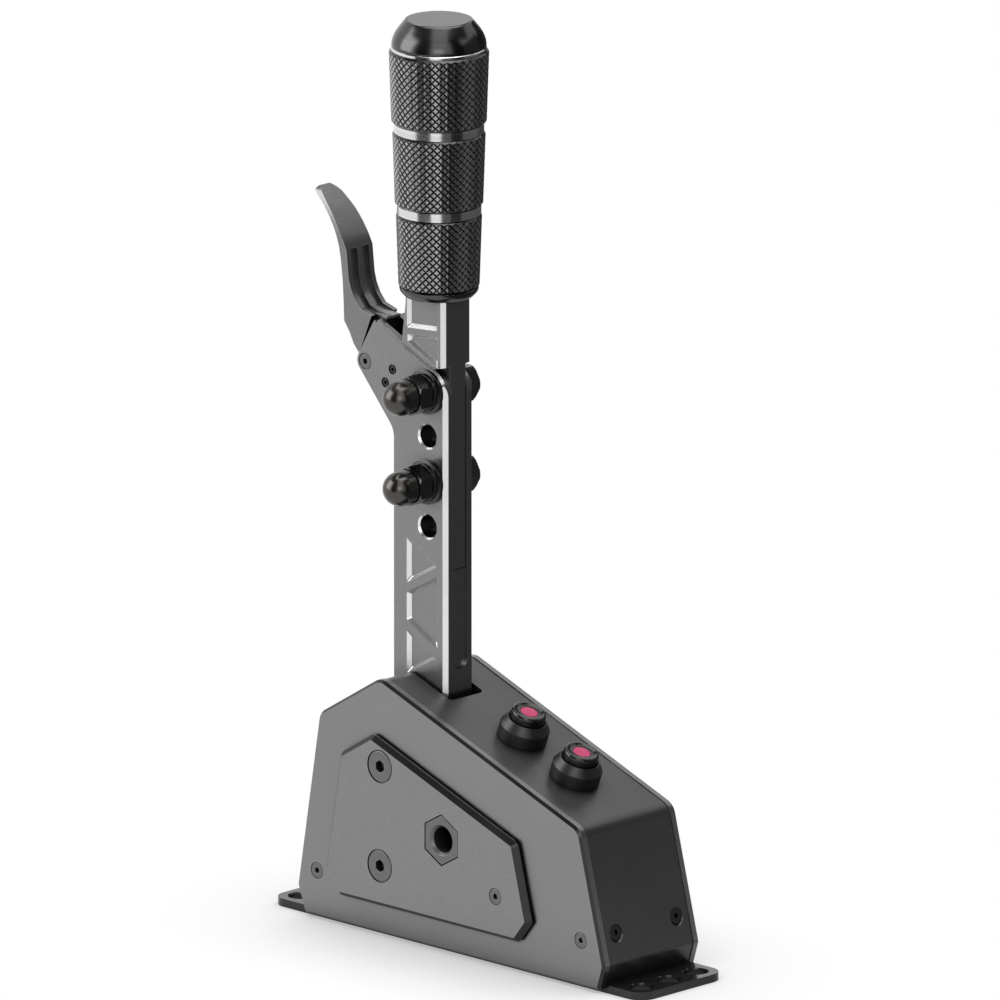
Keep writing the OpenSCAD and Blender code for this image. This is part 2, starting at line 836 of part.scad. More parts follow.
module button_spring(i) {
    color("#c8c8c8")
        on_slope(i)
            translate([0, 0, -barrel_floor + fit])
                coil((cap_bore_r + stem_r) / 2, 0.8, 3, barrel_floor - cap_skirt - 2 * fit);
}
module button_1_spring() {
    button_spring(0);
}
module button_2_spring() {
    button_spring(1);
}
module button_1_cap() {
    color("#161616")
        on_slope(0)
            button_cap();
}
module button_1_lens() {
    color("#d0275a")
        on_slope(0)
            button_lens();
}
module button_2_cap() {
    color("#161616")
        on_slope(1)
            button_cap();
}
module button_2_lens() {
    color("#d0275a")
        on_slope(1)
            button_lens();
}

// Lever: a milled bar whose upper end widens to two cheeks, drawn from the pivot
module from_pivot() {
    translate([pivot[0], 0, pivot[1]])
        children();
}
half_d = lever_d / 2;
head_top = hole_top + 22;
trigger_at = [-half_d - 14.6, hole_top + 5.4];
nose_r = 4;
lever_back = [-half_d, hole_top - 17.4];
head_corner = trigger_at + [4.8, 16.6];
to_corner = head_corner - trigger_at;
to_back = lever_back - trigger_at;
edge_lean = atan2(to_corner[1], to_corner[0]) - asin(nose_r / norm(to_corner));
under_lean = atan2(to_back[1], to_back[0]) + asin(nose_r / norm(to_back));
head_nose = meet(
    head_corner, [cos(edge_lean), sin(edge_lean)],
    lever_back, [cos(under_lean), sin(under_lean)]);
head_fall = 25;
head_front = meet(head_corner, [cos(head_fall), -sin(head_fall)], [half_d, 0], [0, 1]);
lever_points = [
    [-half_d, -half_d],
    lever_back,
    head_nose,
    head_corner,
    head_front,
    [half_d, -half_d]];
lever_r = [half_d - 0.01, 8, nose_r, 1.2, 10, half_d - 0.01];
lever_edge = 1.5;
pocket_depth = 1.1;
slot_deep = 18.3;
tongue_l = hole_top - 3 * hole_pitch - 16;
head_slot_low = hole_top - 12;
bolt_u = 3.9;
stop_slot_r = stop_r + 0.35;
stop_slot_half = stop_h * sin(lever_throw) - 0.1;
module lever_bar() {
    color("#868686")
        from_pivot()
            difference() {
                intersection() {
                    slab(-lever_w / 2, lever_w / 2)
                        polygon(rounded(lever_points, lever_r, 10));
                    translate([0, 0, -lever_d])
                        linear_extrude(head_top + 2 * lever_d)
                            polygon([
                                [-2 * lever_d, -lever_w / 2],
                                [half_d - lever_edge, -lever_w / 2],
                                [half_d, -lever_w / 2 + lever_edge],
                                [half_d, lever_w / 2 - lever_edge],
                                [half_d - lever_edge, lever_w / 2],
                                [-2 * lever_d, lever_w / 2]]);
                }
                translate([half_d - slot_deep, -slot_w / 2, tongue_l])
                    cube([slot_deep + past, slot_w, head_top]);
                translate([half_d - pocket_depth, -slot_w / 2, slot_foot + slot_w / 2])
                    cube([pocket_depth + past, slot_w, head_top]);
                rod_x(0, slot_foot + slot_w / 2, slot_w / 2, half_d - pocket_depth, half_d + past);
                translate([-2 * lever_d, -slot_w / 2, head_slot_low])
                    cube([3 * lever_d, slot_w, head_top]);
                for (i = [0:3])
                    rod_y(bolt_u, hole_top - i * hole_pitch, hole_d / 2, -lever_w, lever_w);
                rod_y(0, 0, axle_d / 2 + 1.5, -lever_w, lever_w);
                mirrored_pair()
                    rod_y(0, 0, bearing_d / 2 + fit, -lever_w, -lever_w / 2 + bearing_w);
                slab(-lever_w, lever_w)
                    union() {
                        translate([-stop_slot_half, stop_h])
                            circle(r = stop_slot_r);
                        translate([stop_slot_half, stop_h])
                            circle(r = stop_slot_r);
                        translate([0, stop_h])
                            square([2 * stop_slot_half, 2 * stop_slot_r], center = true);
                    }
                rod_x(0, rod_z - pivot[1], rod_hole_r, -lever_d, lever_d);
                translate([0, 0, -half_d - past])
                    cylinder(h = magnet_t + past, r = magnet_d / 2 + fit);
                rod_y(trigger_at[0], trigger_at[1], trigger_pin_d / 2 + fit, -lever_w, lever_w);
                mirrored_pair()
                    on_left(trigger_at[0], -lever_w / 2, trigger_at[1])
                        countersink(small_head_d, trigger_pin_d, 1);
                for (p = switch_holes)
                    on_left(p[0], -lever_w / 2, p[1])
                        countersink(switch_head_d, switch_screw_d, switch_screw_l + 0.5);
            }
}
module lever_bearings() {
    color("#c4c4c6")
        from_pivot()
            mirrored_pair()
                difference() {
                    rod_y(0, 0, bearing_d / 2, -lever_w / 2, -lever_w / 2 + bearing_w - fit);
                    rod_y(0, 0, axle_d / 2 + run, -lever_w, 0);
                }
}
module angle_magnet() {
    color("#909498")
        from_pivot()
            translate([0, 0, -half_d])
                cylinder(h = magnet_t - fit, r = magnet_d / 2);
}

// Grip stem: a block under the grip and a tongue clamped in the lever's slot
stem_front = half_d - pocket_depth;
stem_back = stem_front - 19.1;
stem_lean = 1.9;
stem_top = hole_top + 34.6;
stem_gap = 0.6;
stem_low = head_corner + (stem_gap + 0.2) * [sin(head_fall), cos(head_fall)];
stem_fall = [cos(head_fall), -sin(head_fall)];
stem_back_foot = meet(stem_low, stem_fall, [stem_back - stem_lean, 0], [0, 1]);
stem_front_foot = meet(stem_low, stem_fall, [stem_front - 5, 0], [0, 1]);
tongue_back = half_d - slot_deep + 0.3;
module grip_stem() {
    color("#848484")
        from_pivot()
            difference() {
                union() {
                    intersection() {
                        slab(-lever_w / 2, lever_w / 2)
                            polygon([
                                stem_back_foot,
                                [stem_back, stem_back_foot[1] + 15],
                                [stem_back, stem_top],
                                [stem_front, stem_top],
                                [stem_front, stem_front_foot[1] + 1],
                                stem_front_foot]);
                        linear_extrude(2 * stem_top)
                            polygon([
                                [-lever_d, -lever_w / 2],
                                [stem_front - lever_edge, -lever_w / 2],
                                [stem_front, -lever_w / 2 + lever_edge],
                                [stem_front, lever_w / 2 - lever_edge],
                                [stem_front - lever_edge, lever_w / 2],
                                [-lever_d, lever_w / 2]]);
                    }
                    translate([tongue_back, -slot_w / 2 + fit, tongue_l + 0.3])
                        cube([stem_front - tongue_back, slot_w - 2 * fit, stem_back_foot[1] - tongue_l]);
                }
                for (i = [0:3])
                    rod_y(bolt_u, hole_top - i * hole_pitch, hole_d / 2, -lever_w, lever_w);
                translate([grip_u, 0, stem_top - core_thread_l - 0.2])
                    cylinder(h = core_thread_l + past, r = core_thread_d / 2 + fit);
            }
}

// Clamping bolts in two of the holes: hexagon head on the right, washer and domed nut on the left
clamp_d = 8;
clamp_holes = [0, 2];
bolt_head_h = 5.5;
washer_d = 16.5;
washer_t = 1.6;
collar_d = 14.5;
collar_t = 2;
nut_hex_h = 6.5;
dome_r = 6.4;
dome_h = 10.3;
module at_clamps() {
    for (i = clamp_holes)
        from_pivot()
            translate([bolt_u, 0, hole_top - i * hole_pitch])
                children();
}
// Cone that takes the corners off a hexagon of height h
module corner_cone(h) {
    edge = 0.3;
    cylinder(h = h, r1 = bolt_af / 2 + h + edge, r2 = bolt_af / 2 + edge);
}
module clamp_bolts() {
    color("#1c1c1c")
        at_clamps() {
            translate([0, lever_w / 2 + fit, 0])
                rotate([-90, 0, 0])
                    intersection() {
                        cylinder(h = bolt_head_h, r = bolt_af / sqrt(3), $fn = 6);
                        corner_cone(bolt_head_h);
                    }
            rod_y(0, 0, clamp_d / 2, -lever_w / 2 - washer_t - collar_t - nut_hex_h, lever_w / 2 + 2 * fit);
        }
}
module clamp_washers() {
    color("#222222")
        at_clamps()
            difference() {
                union() {
                    rod_y(0, 0, washer_d / 2, -lever_w / 2 - fit - washer_t, -lever_w / 2 - fit);
                    rod_y(0, 0, collar_d / 2, -lever_w / 2 - fit - washer_t - collar_t, -lever_w / 2 - fit);
                }
                rod_y(0, 0, clamp_d / 2 + fit, -lever_w, 0);
            }
}
module clamp_nuts() {
    nut_y = -lever_w / 2 - 2 * fit - washer_t - collar_t;
    color("#141414")
        at_clamps()
            translate([0, nut_y, 0])
                rotate([90, 0, 0])
                    difference() {
                        union() {
                            intersection() {
                                rotate(30)
                                    cylinder(h = nut_hex_h, r = bolt_af / sqrt(3), $fn = 6);
                                corner_cone(nut_hex_h);
                            }
                            rotate_extrude()
                                polygon([
                                    [0, nut_hex_h - past],
                                    [dome_r, nut_hex_h - past],
                                    for (a = [0:9:90])
                                        [dome_r * cos(a), nut_hex_h + dome_h - dome_r + dome_r * sin(a)]]);
                        }
                        translate([0, 0, -past])
                            cylinder(h = nut_hex_h + past, r = clamp_d / 2 + fit);
                    }
}

// Grip, threaded on a core above the stem
grip_u = stem_front - 9.5;
collar_h = 3.6;
cap_h = 10;
thin_ring_h = 1.3;
core_thread_d = 8;
core_thread_l = 14;
core_in_cap = 4;
sleeve_h = (grip_l - collar_h - cap_h - thin_ring_h - 2 * ring_h) / 3;
sleeve_z = [for (i = [0:2]) collar_h + i * (sleeve_h + ring_h)];
cap_z = grip_l - cap_h;
grow = (grip_top_d - grip_foot_d) / (cap_z - collar_h);
function grip_r(z) = (grip_foot_d + grow * (z - collar_h)) / 2;
sleeve_step = 0.25;
ring_step = 0.55;
module from_grip() {
    from_pivot()
        translate([grip_u, 0, stem_top])
            children();
}
module grip_sleeve(i) {
    z0 = sleeve_z[i];
    z1 = z0 + sleeve_h;
    r0 = grip_r(z0) - sleeve_step + i * sleeve_step;
    r1 = grip_r(z1) - sleeve_step + i * sleeve_step;
    from_grip()
        rotate_extrude()
            polygon([
                [core_d / 2 + fit, z0],
                [r0 - 0.4, z0],
                [r0, z0 + 0.4],
                [r1, z1 - 0.4],
                [r1 - 0.4, z1],
                [core_d / 2 + fit, z1]]);
}
module grip_core() {
    color("#a0a0a2")
        from_grip() {
            cylinder(h = cap_z + core_in_cap, r = core_d / 2);
            translate([0, 0, -core_thread_l])
                cylinder(h = core_thread_l + 0.1, r = core_thread_d / 2);
        }
}
module grip_collar() {
    color("#3c3c3e")
        from_grip()
            rotate_extrude()
                polygon([
                    [core_d / 2 + fit, 0],
                    [grip_foot_d / 2 - 2.4, 0],
                    [grip_foot_d / 2 - 0.8, 1.8],
                    [grip_foot_d / 2 - 0.6, collar_h],
                    [core_d / 2 + fit, collar_h]]);
}
module lower_sleeve() {
    color("#2c2c2c")
        grip_sleeve(0);
}
module middle_sleeve() {
    color("#2c2c2c")
        grip_sleeve(1);
}
module upper_sleeve() {
    color("#2c2c2c")
        grip_sleeve(2);
}
module grip_rings() {
    color("#c8c8ca")
        from_grip()
            for (ring = [[sleeve_z[0] + sleeve_h, ring_h], [sleeve_z[1] + sleeve_h, ring_h],
                    [sleeve_z[2] + sleeve_h, thin_ring_h]])
                difference() {
                    translate([0, 0, ring[0]])
                        cylinder(h = ring[1], r = grip_r(ring[0]) - ring_step);
                    translate([0, 0, ring[0] - past])
                        cylinder(h = ring[1] + 2 * past, r = core_d / 2 + fit);
                }
}
cap_flank = [
    [0.9, 0], [0.7, 0.4], [0.8, 1.2], [1.3, 3.2], [2.2, 5.2],
    [3.5, 7.2], [4.8, 8.8], [5.6, 9.6], [6.2, 10]];
module grip_cap() {
    r = grip_top_d / 2;
    color("#4a4a4c")
        from_grip()
            rotate_extrude()
                polygon([
                    [0, cap_z + core_in_cap + 2 * fit],
                    [core_d / 2 + fit, cap_z + core_in_cap + 2 * fit],
                    [core_d / 2 + fit, cap_z],
                    for (p = cap_flank) [r - p[0], cap_z + p[1]],
                    [0, cap_z + cap_h]]);
}

// Trigger: a blade above the cheeks, its root between them, drawn from its own pin
trigger_pin_d = 3;
root_w = slot_w - 0.8;
shoulder_lean = edge_lean + trigger_pull;
shoulder = (nose_r + 0.35) * [-sin(shoulder_lean), cos(shoulder_lean)];
function on_shoulder(t) = shoulder + t * [cos(shoulder_lean), sin(shoulder_lean)];
blade_points = [
    [-28.8, 58.8], [-28.5, 58.3], [-25.8, 56.3], [-22.6, 53.7], [-19.5, 50.6], [-17.1, 47.4], [-15.3, 44.1],
    [-14.0, 40.4], [-13.1, 35.8], [-12.2, 28.5], [-11.7, 21.0], [-11.4, 13.0], [-8.6, 9.2], [-6.6, 5.3],
    on_shoulder(0.6), on_shoulder(16.9), [0.6, 17.9], [-3.3, 19.0], [-6.1, 22.1], [-8.0, 25.6], [-9.1, 29.4],
    [-10.2, 39.6], [-12.2, 43.2], [-13.8, 45.7], [-16.1, 49.1], [-18.4, 52.0], [-20.9, 54.5], [-24.1, 57.5],
    [-27.4, 59.9], [-28.1, 59.9]];
root_points = [
    [-4.4, 1.2], [-8.6, 9.2], [-6, 16], [-3.3, 19.0], [0.6, 17.9], [8.4, 17.7], [8.6, 16.9], [6.2, 14.5],
    [5.2, 7], [4.4, 1.2]];
blade_tip_z = 59.9;
tip_narrowing = [
    [0, 4.4], [-0.6, 3.4], [-1.4, 2.6], [-2.8, 1.8],
    [-6, 1.1], [-9, 0.6], [-12.5, 0.2], [-16, 0]];
blade_front = concat(
    [for (i = [len(tip_narrowing) - 1:-1:0])
        [-blade_w / 2 + tip_narrowing[i][1], blade_tip_z + tip_narrowing[i][0]]],
    [for (p = tip_narrowing) [blade_w / 2 - p[1], blade_tip_z + p[0]]],
    [[blade_w / 2, -lever_d], [-blade_w / 2, -lever_d]]);
lobe_reach = 6.1;
function on_switch(depth, along) = depth * [0.836, -0.548] + along * [0.548, 0.836];
module from_trigger() {
    from_pivot()
        translate([trigger_at[0], 0, trigger_at[1]])
            children();
}
spring_pocket_w = 2.6;
trigger_coil_r = 3.1;
trigger_wire = 0.7;
module trigger() {
    color("#a0a0a0")
        from_trigger()
            difference() {
                union() {
                    intersection() {
                        slab(-blade_w / 2, blade_w / 2)
                            polygon(blade_points);
                        translate([-lever_d - blade_w, 0, 0])
                            rotate([90, 0, 90])
                                linear_extrude(2 * lever_d)
                                    polygon(blade_front);
                    }
                    slab(-root_w / 2, root_w / 2)
                        union() {
                            circle(r = 4.6);
                            polygon(root_points);
                            polygon([on_switch(0, 5.8), on_switch(lobe_reach, 5.7),
                                on_switch(lobe_reach, 1.7), on_switch(0, -4)]);
                        }
                }
                rod_y(0, 0, trigger_pin_d / 2 + run, -lever_w, lever_w);
                slab(-root_w / 2 - fit, -root_w / 2 + spring_pocket_w)
                    circle(r = 4.8);
            }
}
module trigger_pivot() {
    color("#303030")
        from_trigger() {
            rod_y(0, 0, trigger_pin_d / 2, -lever_w / 2 + 1, lever_w / 2 - 1);
            mirrored_pair()
                on_left(0, -lever_w / 2, 0)
                    countersunk(small_head_d, trigger_pin_d, 3);
        }
}
module trigger_spring() {
    color("#c8c8c8")
        from_trigger()
            translate([0, -root_w / 2 + spring_pocket_w - fit, 0])
                rotate([90, 0, 0])
                    coil(trigger_coil_r, trigger_wire, 2.5, spring_pocket_w - 0.3);
}

// Trigger switch between the cheeks, held by two small screws
switch_screw_d = 2;
switch_head_d = 3.8;
switch_screw_l = lever_w - 1.5;
switch_half = 3.3;
switch_mid = trigger_at + on_switch(11.9, 3.9);
switch_holes = [for (s = [-switch_half, switch_half]) switch_mid + s * [0.548, 0.836]];
switch_l = 12.8;
switch_low = -1.9;
switch_high = 4.2;
plunger_h = 0.7;
function from_switch(out, along) = switch_mid + out * [-0.836, 0.548] + along * [0.548, 0.836];
module trigger_switch() {
    color("#181818")
        from_pivot()
            difference() {
                union() {
                    slab(-slot_w / 2 + 1, slot_w / 2 - 1)
                        polygon([
                            from_switch(switch_low, -switch_l / 2),
                            from_switch(switch_high, -switch_l / 2),
                            from_switch(switch_high, switch_l / 2),
                            from_switch(switch_low, switch_l / 2)]);
                    slab(-1, 1)
                        polygon([
                            from_switch(switch_high - 0.5, -0.8),
                            from_switch(switch_high + plunger_h, -0.8),
                            from_switch(switch_high + plunger_h, 0.8),
                            from_switch(switch_high - 0.5, 0.8)]);
                }
                for (p = switch_holes)
                    rod_y(p[0], p[1], switch_screw_d / 2 + fit, -lever_w, lever_w);
            }
}
module switch_screws() {
    color("#303030")
        from_pivot()
            for (p = switch_holes)
                on_left(p[0], -lever_w / 2, p[1])
                    countersunk(switch_head_d, switch_screw_d, switch_screw_l);
}

bottom_plate();
left_side_plate();
right_side_plate();
left_raised_panel();
right_raised_panel();
top_cover();
front_block();
rear_block();
bottom_screws();
side_screws();
driver_end_screws();
panel_screws();
pivot_screws();
stop_screws();
hex_adjusters();
pivot_axle();
pivot_spacers();
stop_shaft();
stop_sleeve();
adjuster_block();
spring_post();
spring_rod();
far_spring();
near_spring();
circuit_board();
board_standoffs();
sensor_board();
port_board();
data_socket();
button_1_housing();
button_2_housing();
button_nuts();
button_switches();
button_1_spring();
button_2_spring();
button_1_cap();
button_1_lens();
button_2_cap();
button_2_lens();
lever_bar();
lever_bearings();
angle_magnet();
grip_stem();
clamp_bolts();
clamp_washers();
clamp_nuts();
grip_core();
grip_collar();
lower_sleeve();
middle_sleeve();
upper_sleeve();
grip_rings();
grip_cap();
trigger_switch();
switch_screws();
trigger_pivot();
trigger_spring();
trigger();
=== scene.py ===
# %% [markdown]
# # Dressing a sprung lever shifter
# A frame of fifty-eight parts is given, every one at its real size and place. What a buyer looks at is
# something else: the bite of the knurling, the glint along a milled edge, the black shine of an acorn nut.
# This lesson makes those. It could all be done by sculpting over the parts, but metal pieces are plain
# shapes with crisp edges, so each one is built from a primitive the way a workshop would make it.
# The frame stays where it is. The looks may not outgrow it.

# %% Load the frame
import bmesh
import bpy
import json
import math
from mathutils import Matrix, Vector


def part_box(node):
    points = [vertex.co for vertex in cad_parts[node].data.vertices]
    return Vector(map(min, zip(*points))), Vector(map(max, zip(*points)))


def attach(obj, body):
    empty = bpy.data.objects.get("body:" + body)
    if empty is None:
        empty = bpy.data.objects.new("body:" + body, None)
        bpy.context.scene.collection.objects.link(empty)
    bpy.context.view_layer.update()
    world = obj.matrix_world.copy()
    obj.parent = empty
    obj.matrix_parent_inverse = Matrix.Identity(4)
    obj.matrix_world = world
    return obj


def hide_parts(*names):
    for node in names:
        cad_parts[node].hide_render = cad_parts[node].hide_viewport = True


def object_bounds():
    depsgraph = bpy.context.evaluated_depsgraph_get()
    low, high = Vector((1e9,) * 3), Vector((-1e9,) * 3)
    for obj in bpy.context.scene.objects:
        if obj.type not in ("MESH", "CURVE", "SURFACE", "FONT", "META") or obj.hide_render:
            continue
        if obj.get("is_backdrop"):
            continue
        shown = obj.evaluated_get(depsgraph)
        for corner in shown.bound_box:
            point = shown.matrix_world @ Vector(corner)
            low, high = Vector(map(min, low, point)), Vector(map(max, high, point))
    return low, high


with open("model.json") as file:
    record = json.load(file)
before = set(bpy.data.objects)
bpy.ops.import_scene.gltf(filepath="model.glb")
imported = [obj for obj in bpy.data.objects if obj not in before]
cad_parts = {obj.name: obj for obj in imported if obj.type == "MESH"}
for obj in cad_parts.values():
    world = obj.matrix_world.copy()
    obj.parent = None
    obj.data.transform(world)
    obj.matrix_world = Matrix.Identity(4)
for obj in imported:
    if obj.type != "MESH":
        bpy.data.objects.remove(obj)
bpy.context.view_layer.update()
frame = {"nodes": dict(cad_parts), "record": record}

# %% [markdown]
# ## The camera
# The picture this part is compared with was taken from far away with a long lens: its upright edges stay
# parallel. An orthographic camera would do that too, but it crops when it is turned round the object, so
# this one is a real lens of 1500 mm, fifteen metres off. It looks down by 15 degrees, from the driver's left.

# %% Camera
AZIMUTH = math.radians(44.4)
ELEVATION = math.radians(15.2)
VIEW_SIZE = 0.3627
AIM_HEIGHT = 0.160
AIM_SIDE = 0.0009

towards = Vector((
    math.sin(AZIMUTH) * math.cos(ELEVATION),
    -math.cos(AZIMUTH) * math.cos(ELEVATION),
    math.sin(ELEVATION)))
rightwards = Vector((math.cos(AZIMUTH), math.sin(AZIMUTH), 0))
upwards = towards.cross(rightwards)
aim = rightwards * AIM_SIDE + upwards * AIM_HEIGHT

lens = bpy.data.cameras.new("Long lens")
lens.lens = 1500
distance = VIEW_SIZE * lens.lens / lens.sensor_width
lens.clip_end = 2 * distance
camera = bpy.data.objects.new("Camera", lens)
camera.location = aim + towards * distance
camera.rotation_euler = towards.to_track_quat("Z", "Y").to_euler()
bpy.context.scene.collection.objects.link(camera)
bpy.context.scene.camera = camera
bpy.context.scene.view_settings.view_transform = "Standard"
print("camera distance, m:", round(distance, 2))

# %% [markdown]
# ## Helpers for working by hand
# An operator acts on whatever is selected, and loading the frame leaves all of it selected. So every step
# first leaves one object alone selected. Inside edit mode, faces and edges are picked by where they lie
# or which way they point, which survives a change of size better than counting them would.

# %% Selecting
MM = 0.001


def only(piece=None):
    """Leaves one piece, or nothing, selected in object mode."""
    if bpy.context.mode != "OBJECT":
        bpy.ops.object.mode_set(mode="OBJECT")
    bpy.ops.object.select_all(action="DESELECT")
    if piece:
        piece.select_set(True)
    bpy.context.view_layer.objects.active = piece


def opened(piece):
    """Opens one piece in edit mode, all of it selected."""
    only(piece)
    bpy.ops.object.mode_set(mode="EDIT")
    bpy.ops.mesh.select_all(action="SELECT")


def pick(kind, wanted):
    """Selects the faces, edges or vertices for which wanted is true, in edit mode."""
    bpy.ops.mesh.select_mode(type=kind)
    bpy.ops.mesh.select_all(action="DESELECT")
    mesh = bmesh.from_edit_mesh(bpy.context.object.data)
    parts = {"FACE": mesh.faces, "EDGE": mesh.edges, "VERT": mesh.verts}[kind]
    for part in parts:
        if wanted(part):
            part.select_set(True)
    mesh.select_flush_mode()
    bmesh.update_edit_mesh(bpy.context.object.data)


def tidied(piece):
    """Merges doubled points and turns the faces outwards."""
    opened(piece)
    bpy.ops.mesh.remove_doubles(threshold=0.001 * MM)
    bpy.ops.mesh.normals_make_consistent(inside=False)
    bpy.ops.object.mode_set(mode="OBJECT")
    return piece


# %% [markdown]
# A lathe makes most of the small parts here. The same thing is done with a circle that is extruded upwards
# and scaled at every step, so a list of radii and heights reads like the drawing a turner works from.
# A hexagon is a circle with six sides, so bolts and nuts come from the same helper.

# %% Turning
def turned(name, rings, sides=64, hollow=False):
    """A turned piece along +Z. Each ring is a radius and a height in millimetres, foot first."""
    only()
    radius, height = rings[0]
    bpy.ops.mesh.primitive_circle_add(
        vertices=sides, radius=radius * MM, fill_type="NOTHING" if hollow else "NGON")
    piece = bpy.context.object
    piece.name = name
    opened(piece)
    bpy.ops.transform.translate(value=(0, 0, height * MM))
    for wide, high in rings[1:]:
        bpy.ops.mesh.extrude_region_move(
            TRANSFORM_OT_translate={"value": (0, 0, (high - height) * MM)})
        bpy.ops.transform.resize(value=(wide / radius, wide / radius, 1), center_override=(0, 0, 0))
        radius, height = wide, high
    if hollow:
        bpy.ops.mesh.select_mode(type="EDGE")
        bpy.ops.mesh.select_all(action="DESELECT")
        bpy.ops.mesh.select_non_manifold()
        bpy.ops.mesh.bridge_edge_loops()
    return tidied(piece)


def laid(piece, foot, along, twist=0):
    """Stands the piece on its foot, in millimetres, with its +Z turned to point along."""
    lean = Vector((0, 0, 1)).rotation_difference(Vector(along).normalized())
    only(piece)
    piece.matrix_world = (
        Matrix.Translation(Vector(foot) * MM)
        @ lean.to_matrix().to_4x4()
        @ Matrix.Rotation(math.radians(twist), 4, "Z"))
    bpy.ops.object.transform_apply(location=True, rotation=True, scale=True)
    return piece


def twin(piece, name):
    """A copy with its own mesh."""
    only(piece)
    bpy.ops.object.duplicate()
    copy = bpy.context.object
    copy.name = name
    return copy


# %% [markdown]
# A milled part starts from the frame's solid. That mesh is loose triangles, so a copy is merged and its flat
# faces are joined, after which it can be cut and bevelled like any other mesh. No machined edge is truly
# sharp: the bevel of a few tenths of a millimetre is what catches the light along it. A cut that leaves
# nothing stops the script, because an empty piece would be easy to overlook.

# %% Milling
EDGE_ANGLE = 30


def merged(piece, gap, bend):
    """Merges points within gap millimetres, and joins faces that bend by less than bend degrees."""
    opened(piece)
    bpy.ops.mesh.remove_doubles(threshold=gap * MM)
    bpy.ops.mesh.dissolve_limited(angle_limit=math.radians(bend))
    bpy.ops.object.mode_set(mode="OBJECT")
    return piece


def copied(node, name):
    """A merged copy of a part of the frame."""
    piece = bpy.data.objects.new(name, frame["nodes"][node].data.copy())
    bpy.context.scene.collection.objects.link(piece)
    return merged(piece, 0.002, 0.5)


def block(centre, size):
    """A block of a size round its centre, both in millimetres."""
    only()
    bpy.ops.mesh.primitive_cube_add(size=MM, location=Vector(centre) * MM, scale=size)
    bpy.ops.object.transform_apply(location=True, rotation=True, scale=True)
    return bpy.context.object


def cut(piece, tool, how="DIFFERENCE"):
    """Takes the tool's shape out of the piece, or joins or crosses them, and removes the tool."""
    only(piece)
    change = piece.modifiers.new("Cut", "BOOLEAN")
    change.operation = how
    change.solver = "EXACT"
    change.object = tool
    bpy.ops.object.modifier_apply(modifier=change.name)
    bpy.data.objects.remove(tool)
    if not piece.data.polygons:
        raise RuntimeError(f"nothing is left of {piece.name}")
    return piece


def softened(piece, width, segments=2):
    """Bevels every sharp edge by width millimetres, and keeps the large faces flat."""
    only(piece)
    if width:
        change = piece.modifiers.new("Edges", "BEVEL")
        change.width = width * MM
        change.segments = segments
        change.limit_method = "ANGLE"
        change.angle_limit = math.radians(EDGE_ANGLE)
        bpy.ops.object.modifier_apply(modifier=change.name)
    bpy.ops.object.shade_smooth_by_angle(angle=math.radians(EDGE_ANGLE + 1))
    change = piece.modifiers.new("Flat faces", "WEIGHTED_NORMAL")
    change.keep_sharp = True
    bpy.ops.object.modifier_apply(modifier=change.name)
    return piece


# %% [markdown]
# ## Shared effects
# Seven things go on these surfaces: blasting leaves a fine grain, hands leave faint patches, edges rub
# bright, a lathe leaves lines, shade is painted dark into corners, cut faces get a tone of their own, bare
# metal on the lever and painted shade on the plates, and a knurl's tops get a painted highlight. Painted by
# hand, they would suit one piece. As node groups, each is built once and placed in every material that needs
# it. A group puts out masks and heights only; the shader stays in the material.

# %% Building node groups
def new_group(name, inputs, outputs):
    """A shader group with named number inputs and outputs."""
    tree = bpy.data.node_groups.new(name, "ShaderNodeTree")
    for label, value in inputs.items():
        socket = tree.interface.new_socket(label, in_out="INPUT", socket_type="NodeSocketFloat")
        socket.default_value = value
    for label in outputs:
        tree.interface.new_socket(label, in_out="OUTPUT", socket_type="NodeSocketFloat")
    return tree, tree.nodes.new("NodeGroupInput"), tree.nodes.new("NodeGroupOutput")


def feed(tree, given, socket):
    """Links a socket to another, or sets it to a value."""
    if isinstance(given, bpy.types.NodeSocket):
        tree.links.new(given, socket)
    else:
        socket.default_value = given


def add(tree, kind, **inputs):
    """Adds a shader node. Each input is named, and given a socket to link or a value."""
    node = tree.nodes.new("ShaderNode" + kind)
    for label, given in inputs.items():
        feed(tree, given, node.inputs[label.replace("_", " ")])
    return node


def worked(tree, kind, operation, *given):
    """Adds a node that works one sum out of the sockets or values given."""
    node = add(tree, kind)
    node.operation = operation
    for socket, value in zip(node.inputs, given):
        feed(tree, value, socket)
    return node


def reckon(tree, operation, first, second=0.0):
    """The outcome of a sum with one or two numbers."""
    return worked(tree, "Math", operation, first, second).outputs["Value"]


def agreement(tree, first, second):
    """How far two directions agree: one for the same, zero for square to each other."""
    return worked(tree, "VectorMath", "DOT_PRODUCT", first, second).outputs["Value"]


def ranged(tree, value, low, high, to_low=0.0, to_high=1.0):
    """Maps low..high to to_low..to_high, and holds the ends."""
    return add(
        tree, "MapRange", Value=value, From_Min=low, From_Max=high, To_Min=to_low,
        To_Max=to_high).outputs["Result"]


# %% [markdown]
# ### Grain and patches
# Aluminium is blasted with glass beads before it is anodised, which leaves grains of about 0.4 mm that only
# show where light grazes them. Hands then leave soft patches a few centimetres wide that are a little more
# or less glossy. Both are noise on the object's own coordinates, so they stay put when a piece moves.

# %% Grain and patches
def grain_group():
    """Fine blasted grain. Size is in grains a metre."""
    tree, given, out = new_group("Blasted grain", {"Size": 2600}, ["Height", "Tone"])
    place = add(tree, "TexCoord").outputs["Object"]
    noise = add(tree, "TexNoise", Vector=place, Scale=given.outputs["Size"], Detail=2, Roughness=0.6)
    feed(tree, noise.outputs["Fac"], out.inputs["Height"])
    feed(tree, ranged(tree, noise.outputs["Fac"], 0.25, 0.75), out.inputs["Tone"])
    return tree


